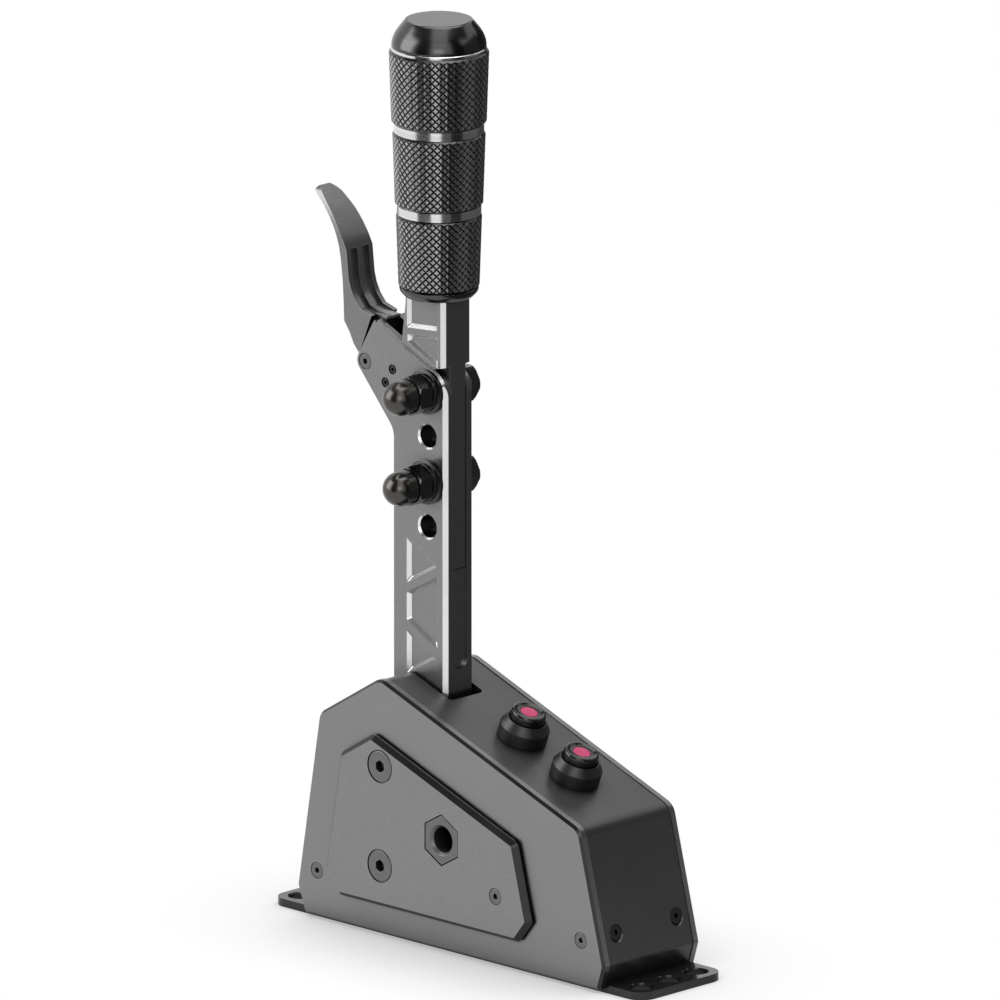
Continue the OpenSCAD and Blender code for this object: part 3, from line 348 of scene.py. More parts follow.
def patches_group():
    """Soft patches where hands and cloths have been."""
    tree, given, out = new_group("Handling patches", {"Size": 45}, ["Mask"])
    place = add(tree, "TexCoord").outputs["Object"]
    noise = add(tree, "TexNoise", Vector=place, Scale=given.outputs["Size"], Detail=4, Distortion=0.4)
    feed(tree, ranged(tree, noise.outputs["Fac"], 0.35, 0.68), out.inputs["Mask"])
    return tree


GRAIN = grain_group()
PATCHES = patches_group()
print("effects:", GRAIN.name, "and", PATCHES.name)

# %% [markdown]
# ### Rubbed edges and painted shade in corners
# An edge loses its colour first. A Bevel node rounds the normal near an edge without touching the mesh, and
# where that rounded normal leaves the true one, an edge is near. Shade is painted into corners, holes and the
# places under parts: there an Ambient Occlusion node finds other surfaces close by.

# %% Rubbed edges and painted shade in corners
def rubbed_group():
    """Where an edge is rubbed bright: the rounded normal leaves the true one there."""
    tree, given, out = new_group("Rubbed edges", {"Width": 0.0006, "Amount": 1}, ["Mask"])
    rounded = add(tree, "Bevel", Radius=given.outputs["Width"])
    rounded.samples = 4
    true = add(tree, "NewGeometry").outputs["Normal"]
    edge = ranged(tree, agreement(tree, rounded.outputs["Normal"], true), 0.99, 0.84)
    place = add(tree, "TexCoord").outputs["Object"]
    noise = add(tree, "TexNoise", Vector=place, Scale=260, Detail=3)
    broken = ranged(tree, noise.outputs["Fac"], 0.3, 0.62, 0.25, 1.0)
    mask = reckon(tree, "MULTIPLY", edge, broken)
    feed(tree, reckon(tree, "MULTIPLY", mask, given.outputs["Amount"]), out.inputs["Mask"])
    return tree


def painted_shade_group():
    """Painted shade: falls from one in the open to zero where other surfaces stand close, such as inside a
    hole.
    """
    tree, given, out = new_group("Sheltered corners", {"Reach": 0.012}, ["Mask"])
    shade = add(tree, "AmbientOcclusion", Distance=given.outputs["Reach"])
    shade.samples = 6
    feed(tree, ranged(tree, shade.outputs["AO"], 0.12, 0.85), out.inputs["Mask"])
    return tree


RUBBED = rubbed_group()
PAINTED_SHADE = painted_shade_group()
print("effects:", RUBBED.name, "and", PAINTED_SHADE.name)

# %% [markdown]
# ### Turning lines
# A lathe's tool leaves fine lines round the axis it turns about. The distance from that axis and the height
# are fed to a two-dimensional noise, so it changes across the lines and never along them.

# %% Turning lines
def split_place(tree):
    """The object's own coordinates, one by one."""
    return add(tree, "SeparateXYZ", Vector=add(tree, "TexCoord").outputs["Object"]).outputs


def lathe_group():
    """Fine lines round an upright axis that stands at Axis X, Axis Y."""
    tree, given, out = new_group(
        "Turning lines", {"Axis X": 0, "Axis Y": 0, "Lines": 2600}, ["Height", "Tone"])
    place = split_place(tree)
    squares = [
        reckon(tree, "POWER", reckon(tree, "SUBTRACT", place[axis], given.outputs[f"Axis {axis}"]), 2.0)
        for axis in "XY"]
    radius = reckon(tree, "POWER", reckon(tree, "ADD", *squares), 0.5)
    across = add(tree, "CombineXYZ", X=radius, Y=place["Z"]).outputs["Vector"]
    noise = add(tree, "TexNoise", Vector=across, Scale=given.outputs["Lines"], Detail=2)
    noise.noise_dimensions = "2D"
    feed(tree, noise.outputs["Fac"], out.inputs["Height"])
    feed(tree, ranged(tree, noise.outputs["Fac"], 0.3, 0.7), out.inputs["Tone"])
    return tree


LATHE = lathe_group()
print("effect:", LATHE.name)

# %% [markdown]
# ### Knurl tops and cut faces
# Two effects follow the way a face looks, so they compare normals. A knurl's tops look straight away from
# its axis, while its flanks look aside, and the tops get a painted highlight. A chamfer or a pocket's wall
# leans 45 degrees out of a flank: on the lever it is cut after anodising and stays bare and bright, on the
# plates it gets a dark tone that is painted shade.

# %% Knurl tops and cut faces
def knurl_highlight_group():
    """A painted highlight on a knurl round an upright axis at Axis X: its tops, the faces that look straight
    away from it.
    """
    tree, given, out = new_group("Knurl tops", {"Axis X": 0}, ["Mask"])
    place = split_place(tree)
    across = reckon(tree, "SUBTRACT", place["X"], given.outputs["Axis X"])
    away = add(tree, "CombineXYZ", X=across, Y=place["Y"]).outputs["Vector"]
    outward = worked(tree, "VectorMath", "NORMALIZE", away).outputs["Vector"]
    facing = agreement(tree, outward, add(tree, "TexCoord").outputs["Normal"])
    feed(tree, ranged(tree, facing, 0.86, 0.96), out.inputs["Mask"])
    return tree


def cut_faces_group():
    """Faces that lean 45 degrees out of a flank, such as chamfers and the walls of pockets."""
    tree, given, out = new_group("Cut faces", {"Amount": 1}, ["Mask"])
    split = add(tree, "SeparateXYZ", Vector=add(tree, "NewGeometry").outputs["True Normal"])
    lean = reckon(tree, "ABSOLUTE", split.outputs["Y"])
    not_square = ranged(tree, lean, 0.5, 0.6)
    not_flat = ranged(tree, lean, 0.88, 0.8)
    mask = reckon(tree, "MULTIPLY", not_square, not_flat)
    feed(tree, reckon(tree, "MULTIPLY", mask, given.outputs["Amount"]), out.inputs["Mask"])
    return tree


CUT_FACES = cut_faces_group()
KNURL_HIGHLIGHT = knurl_highlight_group()
print("effects:", CUT_FACES.name, "and", KNURL_HIGHLIGHT.name)


# %% [markdown]
# ## Finishes
# Anodised aluminium, black oxide, lacquer and moulded plastic differ in four numbers: how dark they are,
# how metallic, how glossy, and how deep their grain is. So one function builds them all. Small helpers for
# groups and colours come first, with the grip's axis, which the turning lines and the knurl need.

# %% Placing a group and mixing colours
grip_low, grip_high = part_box("grip_cap")
grip_axis = (grip_low.x + grip_high.x) / 2
print("grip's axis at X, mm:", round(grip_axis / MM, 2))


def grey(value):
    """A grey with a trace of blue, as anodised metal has."""
    return (value, value, value * 1.01)


def shaded(colour, share):
    """A colour made darker or lighter."""
    return tuple(share * channel for channel in colour)


def use(tree, group, **values):
    """Places a group in a material with its own values."""
    node = add(tree, "Group")
    node.node_tree = group
    for label, value in values.items():
        feed(tree, value, node.inputs[label.replace("_", " ")])
    return node


def blank(name):
    """A new material and its node tree."""
    made = bpy.data.materials.new(name)
    made.use_nodes = True
    return made, made.node_tree


def blend_colour(tree, share, first, second):
    """Mixes two colours by a mask. A colour is a socket or three numbers."""
    node = add(tree, "Mix")
    node.data_type = "RGBA"
    feed(tree, share, node.inputs["Factor"])
    for given, socket in ((first, node.inputs["A"]), (second, node.inputs["B"])):
        feed(tree, (*given, 1) if isinstance(given, tuple) else given, socket)
    return node.outputs["Result"]


# %% [markdown]
# The layers go on in turn: the coat with its grain, painted shade in the corners, a painted highlight on
# knurl tops, then what rubbing lays bare, and last the tone of cut faces. A worn edge is brighter than its
# coat unless a tone is given for it. Handling changes the gloss only, and the grain is also the bump.

# %% The function that builds a finish
GRAIN_DARK = 0.86
GRAIN_LIGHT = 1.1
# How dark the painted shade in corners makes a colour:
PAINTED_SHADE_TONE = 0.1
GLOSS_SPREAD = 0.04


def finish(
        name, colour, metal, gloss, grain, wear, worn=None, lathe=None, size=2600, cut=0, tops=None):
    """A procedural finish. gloss is the roughness, grain the bump's depth in millimetres."""
    made, tree = blank(name)
    shader = tree.nodes["Principled BSDF"]
    shader.inputs["Metallic"].default_value = metal
    if lathe is None:
        texture = use(tree, GRAIN, Size=size)
    else:
        texture = use(tree, LATHE, Axis_X=lathe, Lines=size)
    skin = blend_colour(
        tree, texture.outputs["Tone"], shaded(colour, GRAIN_DARK), shaded(colour, GRAIN_LIGHT))
    # Painted shade: the colour darkens where other surfaces stand close, in corners, holes and under parts.
    corner_shade = use(tree, PAINTED_SHADE)
    skin = blend_colour(tree, corner_shade.outputs["Mask"], shaded(colour, PAINTED_SHADE_TONE), skin)
    # Painted highlight: the knurl's tops, which face straight out, are made lighter.
    if tops:
        raised = use(tree, KNURL_HIGHLIGHT, Axis_X=grip_axis)
        skin = blend_colour(tree, raised.outputs["Mask"], skin, grey(tops))
    edges = use(tree, RUBBED, Amount=wear)
    worn = worn or tuple(min(1.0, 2.2 * channel + 0.05) for channel in colour)
    skin = blend_colour(tree, edges.outputs["Mask"], skin, worn)
    # Cut faces: bare metal on the lever; on the plates the dark tone is painted shade.
    if cut:
        bare_or_shaded = use(tree, CUT_FACES)
        skin = blend_colour(tree, bare_or_shaded.outputs["Mask"], skin, grey(cut))
    feed(tree, skin, shader.inputs["Base Color"])
    patches = use(tree, PATCHES)
    rough = ranged(
        tree, patches.outputs["Mask"], 0, 1, gloss - GLOSS_SPREAD, gloss + GLOSS_SPREAD)
    feed(tree, rough, shader.inputs["Roughness"])
    bump = add(tree, "Bump", Distance=grain * MM, Height=texture.outputs["Height"])
    feed(tree, bump.outputs["Normal"], shader.inputs["Normal"])
    return made


# %% [markdown]
# ### The paint shop's list
# Every solid finds its finish by the slot it came with. A row says how dark the coat is, how metallic, how
# rough, how deep its grain and how worn its edges. Some add a tone for worn edges, for cut faces (bare metal
# on the lever, painted shade on the plates) or for tops (a painted highlight on the knurl).

# %% The list of finishes
finishes = {
    # On the plate, cut paints its 45-degree faces dark as painted shade; on the lever it is bare metal.
    "plate_grey": finish("Anodised plate", grey(0.235), 0.95, 0.3, 0.005, 0.3, cut=0.04),
    "cover_black": finish("Lacquered cover", grey(0.11), 0.8, 0.34, 0.02, 0.25, size=1500),
    "base_black": finish("Lacquered base", grey(0.012), 0, 0.16, 0.01, 0.2, grey(0.05)),
    "lever_grey": finish("Anodised lever", grey(0.235), 0.95, 0.26, 0.005, 0.3, cut=0.8),
    "block_metal": finish("Machined block", grey(0.55), 1, 0.35, 0.02, 0.3),
    "shaft_steel": finish("Ground shaft", grey(0.58), 1, 0.22, 0.01, 0.2),
    "bearing_steel": finish("Polished bearing", grey(0.7), 1, 0.15, 0.005, 0.2),
    "spring_steel": finish("Drawn spring wire", grey(0.5), 1, 0.28, 0.01, 0.2),
    "screw_black": finish("Black oxide screw", grey(0.03), 0.6, 0.3, 0.01, 0.4, grey(0.12)),
    "screw_grey": finish("Zinc screw", grey(0.16), 0.6, 0.32, 0.01, 0.5),
    "bolt_black": finish("Black bolt", (0.082, 0.078, 0.074), 0.95, 0.22, 0.004, 0.3, grey(0.12)),
    "stop_rubber": finish("Rubber sleeve", grey(0.02), 0, 0.7, 0.04, 0),
    "board_green": finish("Solder mask", (0.02, 0.11, 0.05), 0, 0.35, 0.01, 0.1),
    "standoff_brass": finish("Turned brass", (0.62, 0.44, 0.18), 1, 0.3, 0.01, 0.2),
    "socket_steel": finish("Plated socket", grey(0.55), 1, 0.25, 0.01, 0.2),
    "button_black": finish("Button bezel", grey(0.02), 0, 0.36, 0.01, 0.2, grey(0.05)),
    "cap_black": finish("Button cap", grey(0.012), 0, 0.16, 0.004, 0.1, grey(0.03)),
    "lens_pink": finish("Lit lens", (0.72, 0.03, 0.17), 0, 0.25, 0.004, 0),
    "switch_black": finish("Moulded switch", grey(0.02), 0, 0.45, 0.02, 0.1),
    "magnet_nickel": finish("Nickel plate", grey(0.6), 1, 0.2, 0.005, 0.1),
    # The grip's tops tone is a painted highlight on the knurl.
    "grip_black": finish("Knurled grip", grey(0.075), 0.95, 0.2, 0.006, 0.1, grey(0.16), tops=0.36),
    "ring_bright": finish("Bright ring", grey(0.72), 1, 0.16, 0.004, 0.1, lathe=grip_axis),
    "grip_end": finish("Turned grip cap", grey(0.08), 1, 0.2, 0.004, 0.3, lathe=grip_axis),
    "trigger_grey": finish("Anodised trigger", grey(0.2), 0.9, 0.3, 0.01, 0.6),
}

slot_of = {}
for name, node in frame["nodes"].items():
    slot_of[name] = node.material_slots[0].material.name.split(".")[0]
    for slot in node.material_slots:
        slot.material = finishes[slot_of[name]]
print(len(finishes), "finishes on", len(frame["nodes"]), "parts")

# %% [markdown]
# ## Standing in for the solids
# Every new piece stands for a part of the frame. It takes that part's finish and rides on its body, and both
# are looked up, so a piece can't end up on the wrong one. Its place comes from the part's box too. A part
# that holds several screws is taken apart for a moment, to learn where each of them is.

# %% Places and finishes from the frame
body_of = {
    node: body for body, nodes in frame["record"]["behaviour"]["bodies"].items() for node in nodes}


def corners(node):
    """A part's lowest and highest corner, in millimetres."""
    low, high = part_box(node)
    return low / MM, high / MM


def middle(node):
    """The middle of a part's box, in millimetres."""
    low, high = corners(node)
    return (low + high) / 2


def at(low, high, y):
    """The middle of a box, seen from the side, at Y."""
    return Vector(((low.x + high.x) / 2, y, (low.z + high.z) / 2))


def solids(node):
    """The lowest and highest corners, in millimetres, of every solid in a part."""
    only(copied(node, "Measured"))
    bpy.ops.mesh.separate(type="LOOSE")
    found = []
    for part in bpy.context.selected_objects:
        points = [point.co / MM for point in part.data.vertices]
        low = Vector([min(point[axis] for point in points) for axis in range(3)])
        high = Vector([max(point[axis] for point in points) for axis in range(3)])
        found.append((low, high))
        bpy.data.objects.remove(part)
    return sorted(found, key=lambda box: [round(side, 1) for side in (*box[0], *box[1])])


def fitted(piece, *nodes):
    """Gives a finished piece the finish and body of the part it stands for, and hides that."""
    only(piece)
    slot = slot_of[nodes[0]]
    piece.data.materials.clear()
    piece.data.materials.append(finishes[slot])
    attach(piece, body_of[nodes[0]])
    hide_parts(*nodes)
    print(f"{piece.name}: {len(piece.data.polygons)} faces")
    return piece


# %% [markdown]
# ## Screws
# All screws here are countersunk with a hexagon socket. A head never fills its hole: a dark ring of a few
# tenths shows round it, and that ring tells the eye that it's a screw. A decal could fake it, but a real
# gap keeps its shade from every side. So the head is turned a little small, its rim is broken, and the
# socket is cut with a six-sided tool. One screw of each size is made, and the others are copies of it.

# %% A countersunk screw
BIG_HEAD = 12.5
SMALL_HEAD = 6.2
KEY_SHARE = 0.19
KEY_FLOOR = 0.3
KEY_WALL = 0.26
RIM_SHARE = 0.02


def screw(name, head, shank, length, gap):
    """A countersunk screw along +Z, its head's flat at zero. head and shank are diameters."""
    rim = head / 2 - gap
    piece = turned(name, [
        (shank / 2, -length), (shank / 2, (shank - head) / 2),
        (rim, -gap), (rim, -gap / 2), (rim - gap / 2, 0)], sides=48)
    key = KEY_SHARE * head
    socket = turned("Key", [
        (key * 0.7, -KEY_FLOOR * head), (key, -KEY_WALL * head), (key, 1)], sides=6)
    return softened(cut(piece, socket), RIM_SHARE * head, segments=1)


def placed(piece, name, foot, along, twist=0):
    """A copy with its own mesh, laid on its foot along a direction."""
    return laid(twin(piece, name), foot, along, twist)


def drilled(piece, foot, along, radius, depth):
    """Sinks a flat hole into the piece. along points out of it."""
    return cut(piece, laid(turned("Drill", [(radius, -depth), (radius, 1)]), foot, along))


big_screw = screw("big_screw", BIG_HEAD, 6, 15, 0.45)
small_screw = screw("small_screw", SMALL_HEAD, 3, 8, 0.2)
print("screws made:", big_screw.name, "and", small_screw.name)

# %% [markdown]
# A screw's head lies in the outer face of its side, so the middle of that face is the copy's foot. Every
# foot is kept, because the plates get a seat there in the next step.

# %% Screws in both sides of the housing
def outer_foot(low, high):
    """The side of the housing that a solid is on, -1 or 1, and the middle of its outer face."""
    side = 1 if low.y + high.y > 0 else -1
    return side, at(low, high, high.y if side > 0 else low.y)


side_seats = []
panel_seats = []
for node, master, seats in (
        ("pivot_screws", big_screw, panel_seats), ("stop_screws", big_screw, panel_seats),
        ("panel_screws", small_screw, panel_seats), ("side_screws", small_screw, side_seats)):
    for number, (low, high) in enumerate(solids(node)):
        side, foot = outer_foot(low, high)
        seats.append((foot, side, (high.x - low.x) / 2))
        fitted(placed(master, f"{node}_{number}", foot, (0, side, 0), 20 * number), node)

# %% [markdown]
# ## The housing's plates
# The side plates and the raised panels on them are cut from sheet and milled round their edges. Their
# solids are right already, so copies of them are seated for the screws and get the small bevel that every
# machined edge has. Only that bevel makes the thin bright lines that run round a real plate.

# %% Side plates and raised panels
SEAT_DEPTH = 0.7
CLEARANCE = 0.05
EDGE = 0.2

for side, hand in ((-1, "left"), (1, "right")):
    for part, node, seats in (
            ("plate", f"{hand}_side_plate", side_seats), ("panel", f"{hand}_raised_panel", panel_seats)):
        plate = copied(node, f"{part}_{hand}")
        for foot, facing, radius in seats:
            if facing == side:
                drilled(plate, foot, (0, side, 0), radius + CLEARANCE, SEAT_DEPTH)
        fitted(softened(plate, EDGE), node)

# %% [markdown]
# The hexagonal adjuster is a bush with a threaded bore. A hexagon is a circle of six sides, so it is
# turned like a round part, with a chamfer round its face, and its bore is a round cut with a wider mouth.

# %% Hexagonal adjusters
HEX_DEPTH = 3.2
HEX_PLAY = 0.1
SHANK = 5.95
BORE = 4.75
MOUTH = 1
CHAMFER = 0.5

for number, (low, high) in enumerate(solids("hex_adjusters")):
    side, foot = outer_foot(low, high)
    tip = (high.x - low.x) / 2 / math.cos(math.radians(30)) - HEX_PLAY
    bush = turned("Bush", [(tip, -HEX_DEPTH), (tip, -CHAMFER), (tip - CHAMFER, 0)], sides=6)
    cut(bush, turned("Shank", [(SHANK, -(high.y - low.y)), (SHANK, -1)]), "UNION")
    cut(bush, turned("Bore", [(BORE, -30), (BORE, -MOUTH), (BORE + 2 * MOUTH, MOUTH)]))
    bush.name = f"adjuster_{number}"
    fitted(softened(laid(bush, foot, (0, side, 0)), 0.1), "hex_adjusters")

# %% [markdown]
# ## The cover and the bottom plate
# The cover is one sheet, folded over the plates and lacquered black. Its solid has the folds and the slot
# already. The two screws at the driver's end lean with that face, so their direction is read from the
# face itself: the one that points most towards the driver.

# %% Cover, bottom plate and their screws
cover = copied("top_cover", "cover")
end_face = max(
    (face for face in cover.data.polygons if 0.9 < face.normal.x < 0.99 and face.normal.z > 0),
    key=lambda face: face.area)
end_out = end_face.normal.copy()
end_point = cover.data.vertices[end_face.vertices[0]].co / MM
for number, (low, high) in enumerate(solids("driver_end_screws")):
    centre = (low + high) / 2
    foot = centre + end_out * (end_point - centre).dot(end_out)
    drilled(cover, foot, end_out, SMALL_HEAD / 2 + CLEARANCE, SEAT_DEPTH)
    fitted(placed(small_screw, f"end_screw_{number}", foot, end_out, 15), "driver_end_screws")
fitted(softened(cover, 0.1), "top_cover")

bottom = copied("bottom_plate", "bottom")
for number, (low, high) in enumerate(solids("bottom_screws")):
    foot = ((low.x + high.x) / 2, (low.y + high.y) / 2, low.z)
    drilled(bottom, foot, (0, 0, -1), SMALL_HEAD / 2 + CLEARANCE, SEAT_DEPTH)
    fitted(placed(small_screw, f"bottom_screw_{number}", foot, (0, 0, -1), 25 * number), "bottom_screws")
fitted(softened(bottom, 0.25), "bottom_plate")

# %% [markdown]
# ## The lever
# The lever is one long bar of aluminium. Its flanks are lightened by triangular pockets, with slanting ribs
# left between them as in a crane's jib. A chamfer cutter has run round each pocket, so its walls slope at 45
# degrees and mirror the light. A pocket is a block that is bisected by its leaning walls, and the edges
# between them are rounded as the cutter leaves them. The lever's solid is cut with it, on both flanks alike.

# %% Pockets
RIB_LEAN = 29
POCKET_DEPTH = 1.3
POCKET_CORNER = 0.6
MARGIN = 4
ABOVE = 1
BELOW = -1


def pocketed(piece, flank, low, high, trims, corner=POCKET_CORNER):
    """Mills a pocket between two corners, given as X and Z. A trim is a point, a lean and the side kept."""
    side = math.copysign(1, flank)
    tool = block(
        ((low[0] + high[0]) / 2, flank, (low[1] + high[1]) / 2),
        (high[0] - low[0] + MARGIN, 2 * POCKET_DEPTH, high[1] - low[1]))
    bpy.ops.object.mode_set(mode="EDIT")
    for (x, z), lean, keep in (*trims, (low, 90, BELOW), (high, 90, ABOVE)):
        rise = math.radians(lean)
        bpy.ops.mesh.select_all(action="SELECT")
        bpy.ops.mesh.bisect(
            plane_co=Vector((x, flank, z)) * MM,
            plane_no=(math.sin(rise) * keep, -side, -math.cos(rise) * keep),
            use_fill=True, clear_outer=True)
    pick("EDGE", lambda edge: abs((edge.verts[0].co - edge.verts[1].co).y) > POCKET_DEPTH * MM)
    bpy.ops.mesh.bevel(offset=corner * MM, segments=3)
    bpy.ops.object.mode_set(mode="OBJECT")
    return merged(cut(piece, tool), 0.01, 1)


# %% [markdown]
# The same cutter has gone round the two spare clamping holes and along the head's falling top edge. Those
# edges are picked by place: on a flank, and round a hole's centre or up on the slope. A bevel of one segment
# makes the chamfer. A spare hole lies halfway between the clamps and one as far below the lower clamp, so
# both are found from the nuts.

# %% The lever's edges
HOLE_REACH = 4.6
HEAD_TOP = (-55, 220)
HEAD_FALL = 0.466
lever = copied("lever_bar", "lever")
lever_low, lever_high = corners("lever_bar")
flank = (lever_high.y - lever_low.y) / 2
clamps = [(low + high) / 2 for low, high in solids("clamp_nuts")]
clamp_gap = abs(clamps[0].z - clamps[1].z)
spare_holes = [Vector((hole.x, 0, hole.z - clamp_gap / 2)) for hole in clamps]


def on_flank(edge):
    """True for an edge that lies in either flank."""
    return all(abs(abs(end.co.y) - flank * MM) < 0.01 * MM for end in edge.verts)


def round_hole(edge):
    """True for an edge round the mouth of a spare hole."""
    spot = (edge.verts[0].co + edge.verts[1].co) / 2 / MM
    return any(math.hypot(spot.x - hole.x, spot.z - hole.z) < HOLE_REACH for hole in spare_holes)


def on_slope(edge):
    """True for the outer edge of the head's top, from its peak round to the driver's side."""
    spot = (edge.verts[0].co + edge.verts[1].co) / 2 / MM
    outward = [face.normal for face in edge.link_faces if abs(face.normal.y) < 0.1]
    past_top = spot.x - HEAD_TOP[0]
    return (len(outward) == 1 and outward[0].x > 0.1 and outward[0].z > 0.1
            and past_top > 0 and spot.z > HEAD_TOP[1] - HEAD_FALL * past_top)


print("spare holes at Z, mm:", [round(hole.z, 1) for hole in spare_holes])

# %% [markdown]
# The order matters here. The screws' seats are drilled while the solid is still plain, because after the
# chamfers the boolean can leave nothing of the bar. Then come the chamfers, and the pockets are last.

# %% Milled lever
HOLE_CHAMFER = 0.65
HEAD_CHAMFER = 1.1
POCKET_FAR = -38.7
POCKET_NEAR = -23.1
LEVER_POCKETS = (
    (120, 160, (146.2, -RIB_LEAN, BELOW), (129, RIB_LEAN, ABOVE)),
    (90, 140, (125.4, RIB_LEAN, BELOW), (115, -RIB_LEAN, ABOVE)),
    (90, 120, (111.5, -RIB_LEAN, BELOW), (95, RIB_LEAN, ABOVE)))

for low, high in solids("switch_screws") + solids("trigger_pivot"):
    radius = (high.x - low.x) / 2 + CLEARANCE
    drilled(lever, at(low, high, -flank), (0, -1, 0), radius, SEAT_DEPTH)
only(lever)
bpy.ops.object.mode_set(mode="EDIT")
pick("EDGE", lambda edge: on_flank(edge) and round_hole(edge))
bpy.ops.mesh.bevel(offset=HOLE_CHAMFER * MM, segments=1)
pick("EDGE", lambda edge: on_flank(edge) and on_slope(edge))
bpy.ops.mesh.bevel(offset=HEAD_CHAMFER * MM, segments=1)
for side in (-flank, flank):
    for lowest, highest, *trims in LEVER_POCKETS:
        pocketed(lever, side, (POCKET_FAR, lowest), (POCKET_NEAR, highest), [
            ((POCKET_FAR, height), lean, keep) for height, lean, keep in trims])
fitted(softened(lever, 0.1), "lever_bar")

# %% [markdown]
# The stem carries the grip and is clamped between the lever's cheeks. Its flanks have pockets of the same
# kind. The lower one is a narrow wedge, so its corners are tighter.

# %% Grip stem
stem = copied("grip_stem", "stem")
for side in (-flank, flank):
    pocketed(stem, side, (-38.6, 220), (POCKET_NEAR, 240), [((-38, 224.8), 5, ABOVE)])
    pocketed(stem, side, (-38.3, 205), (POCKET_NEAR, 230), [
        ((-38.3, 222.2), 6, BELOW), ((-38.3, 219.3), -25, ABOVE)], corner=0.25)
fitted(softened(stem, 0.1), "grip_stem")

# %% [markdown]
# ## Bolts and domed nuts
# Two bolts clamp the stem in the lever. Each has a washer with a collar and a domed nut of black polished
# steel. The nut is a six-sided turning whose corners are taken off by a cone, joined to a dome that is
# turned with a neck and a straight part, as on real ones, where half a sphere would look like a ball.

# %% Nut, washer and bolt
NUT_FLATS = 13
HEX_HEIGHT = 6.5
DOME_RADIUS = 6.4
DOME_HEIGHT = 10.3
DOME_NECK = 0.5
DOME_STEPS = 12


def hexagon(name, height, flats):
    """A hexagonal head along +Z, its top corners taken off by a cone."""
    piece = turned(name, [(flats / math.sqrt(3), 0), (flats / math.sqrt(3), height)], sides=6)
    cone = turned("Cone", [(flats / 2 + 0.3 + height, -0.01), (flats / 2 + 0.25, height)], sides=96)
    return cut(piece, cone, "INTERSECT")


nut = hexagon("domed_nut", HEX_HEIGHT, NUT_FLATS)
straight = HEX_HEIGHT + DOME_HEIGHT - DOME_RADIUS
dome = [(DOME_RADIUS - DOME_NECK, HEX_HEIGHT - 1), (DOME_RADIUS - DOME_NECK, HEX_HEIGHT + 0.3),
        (DOME_RADIUS, HEX_HEIGHT + 0.6), (DOME_RADIUS, straight)]
for step in range(1, DOME_STEPS):
    turn = math.radians(90 * step / DOME_STEPS)
    dome.append((DOME_RADIUS * math.cos(turn), straight + DOME_RADIUS * math.sin(turn)))
dome.append((0.05, straight + DOME_RADIUS))
nut = cut(nut, turned("Dome", dome), "UNION")
nut = softened(nut, 0.15)
washer = softened(turned("washer", [
    (8.25, 0), (8.25, 1.6), (7.25, 1.65), (7.25, 3.55), (4.1, 3.55), (4.1, 0)], hollow=True), 0.25)
bolt = softened(hexagon("bolt", 5.5, NUT_FLATS), 0.15)
print("faces of nut, washer and bolt head:", [len(made.data.polygons) for made in (nut, washer, bolt)])

# %% Both clamps
BOLT_RADIUS = 4
BOLT_LENGTH = 28

for number, (low, high) in enumerate(solids("clamp_nuts")):
    left, right = (at(low, high, side * (flank + CLEARANCE)) for side in (-1, 1))
    fitted(placed(nut, f"domed_nut_{number}", at(low, high, high.y), (0, -1, 0)), "clamp_nuts")
    fitted(placed(washer, f"collar_washer_{number}", left, (0, -1, 0)), "clamp_washers")
    shank = turned("shank", [(BOLT_RADIUS, -BOLT_LENGTH), (BOLT_RADIUS, 0.5)])
    whole = cut(twin(bolt, f"clamp_bolt_{number}"), shank, "UNION")
    fitted(laid(whole, right, (0, 1, 0), 30), "clamp_bolts")

# %% [markdown]
# ## The grip
# The grip is three knurled sleeves with bright rings between them. Knurling is pressed in by a wheel with
# crossed ridges, and it leaves rows of small pyramids. It could be a bump, but a bump has no outline and no
# real shade, so each pyramid is modelled: the side of a cone is divided into squares, the squares are
# poked, and joining the halves across their old edges turns the grid by 45 degrees. Each diamond is then
# inset and raised. That leaves five faces a pyramid, which is little enough for two thousand of them.

# %% A coat of diamonds
KNURL_PITCH = 2.7
KNURL_RISE = 0.36
KNURL_FLANK = 0.34
LEVEL = 0.2
UPRIGHT = 0.9


def slope_of(edge):
    """How steeply an edge stands, from 0 for level to 1 for upright."""
    return abs((edge.verts[0].co - edge.verts[1].co).normalized().z)


def diamonds(name, foot, top, tall, centre):
    """The side of a cone, covered with rows of raised diamonds. It stays open and in edit mode."""
    only()
    bpy.ops.mesh.primitive_cone_add(
        vertices=round(math.pi * (top + foot) / KNURL_PITCH), radius1=foot * MM, radius2=top * MM,
        depth=tall * MM, end_fill_type="NOTHING", location=centre)
    piece = bpy.context.object
    piece.name = name
    bpy.ops.object.transform_apply(location=True, rotation=True, scale=True)
    bpy.ops.object.mode_set(mode="EDIT")
    pick("EDGE", lambda edge: slope_of(edge) > UPRIGHT)
    bpy.ops.mesh.subdivide(number_cuts=round(tall / KNURL_PITCH) - 1)
    bpy.ops.mesh.select_all(action="SELECT")
    bpy.ops.mesh.poke()
    pick("EDGE", lambda edge: not edge.is_boundary and not LEVEL < slope_of(edge) < UPRIGHT)
    bpy.ops.mesh.dissolve_edges(use_verts=False)
    pick("FACE", lambda face: True)
    bpy.ops.mesh.inset(thickness=KNURL_FLANK * MM, depth=KNURL_RISE * MM, use_individual=True)
    return piece


# %% [markdown]
# The coat is still a tube without an inside. Each open end is drawn out into a small rim, then in to the
# core, and a bridge between the two ends makes the bore.

# %% Knurled sleeves
SLEEVE_TAPER = 0.034
SLEEVE_RIM = 0.4
CORE_RADIUS = 6.05
grip_x = middle("grip_collar").x


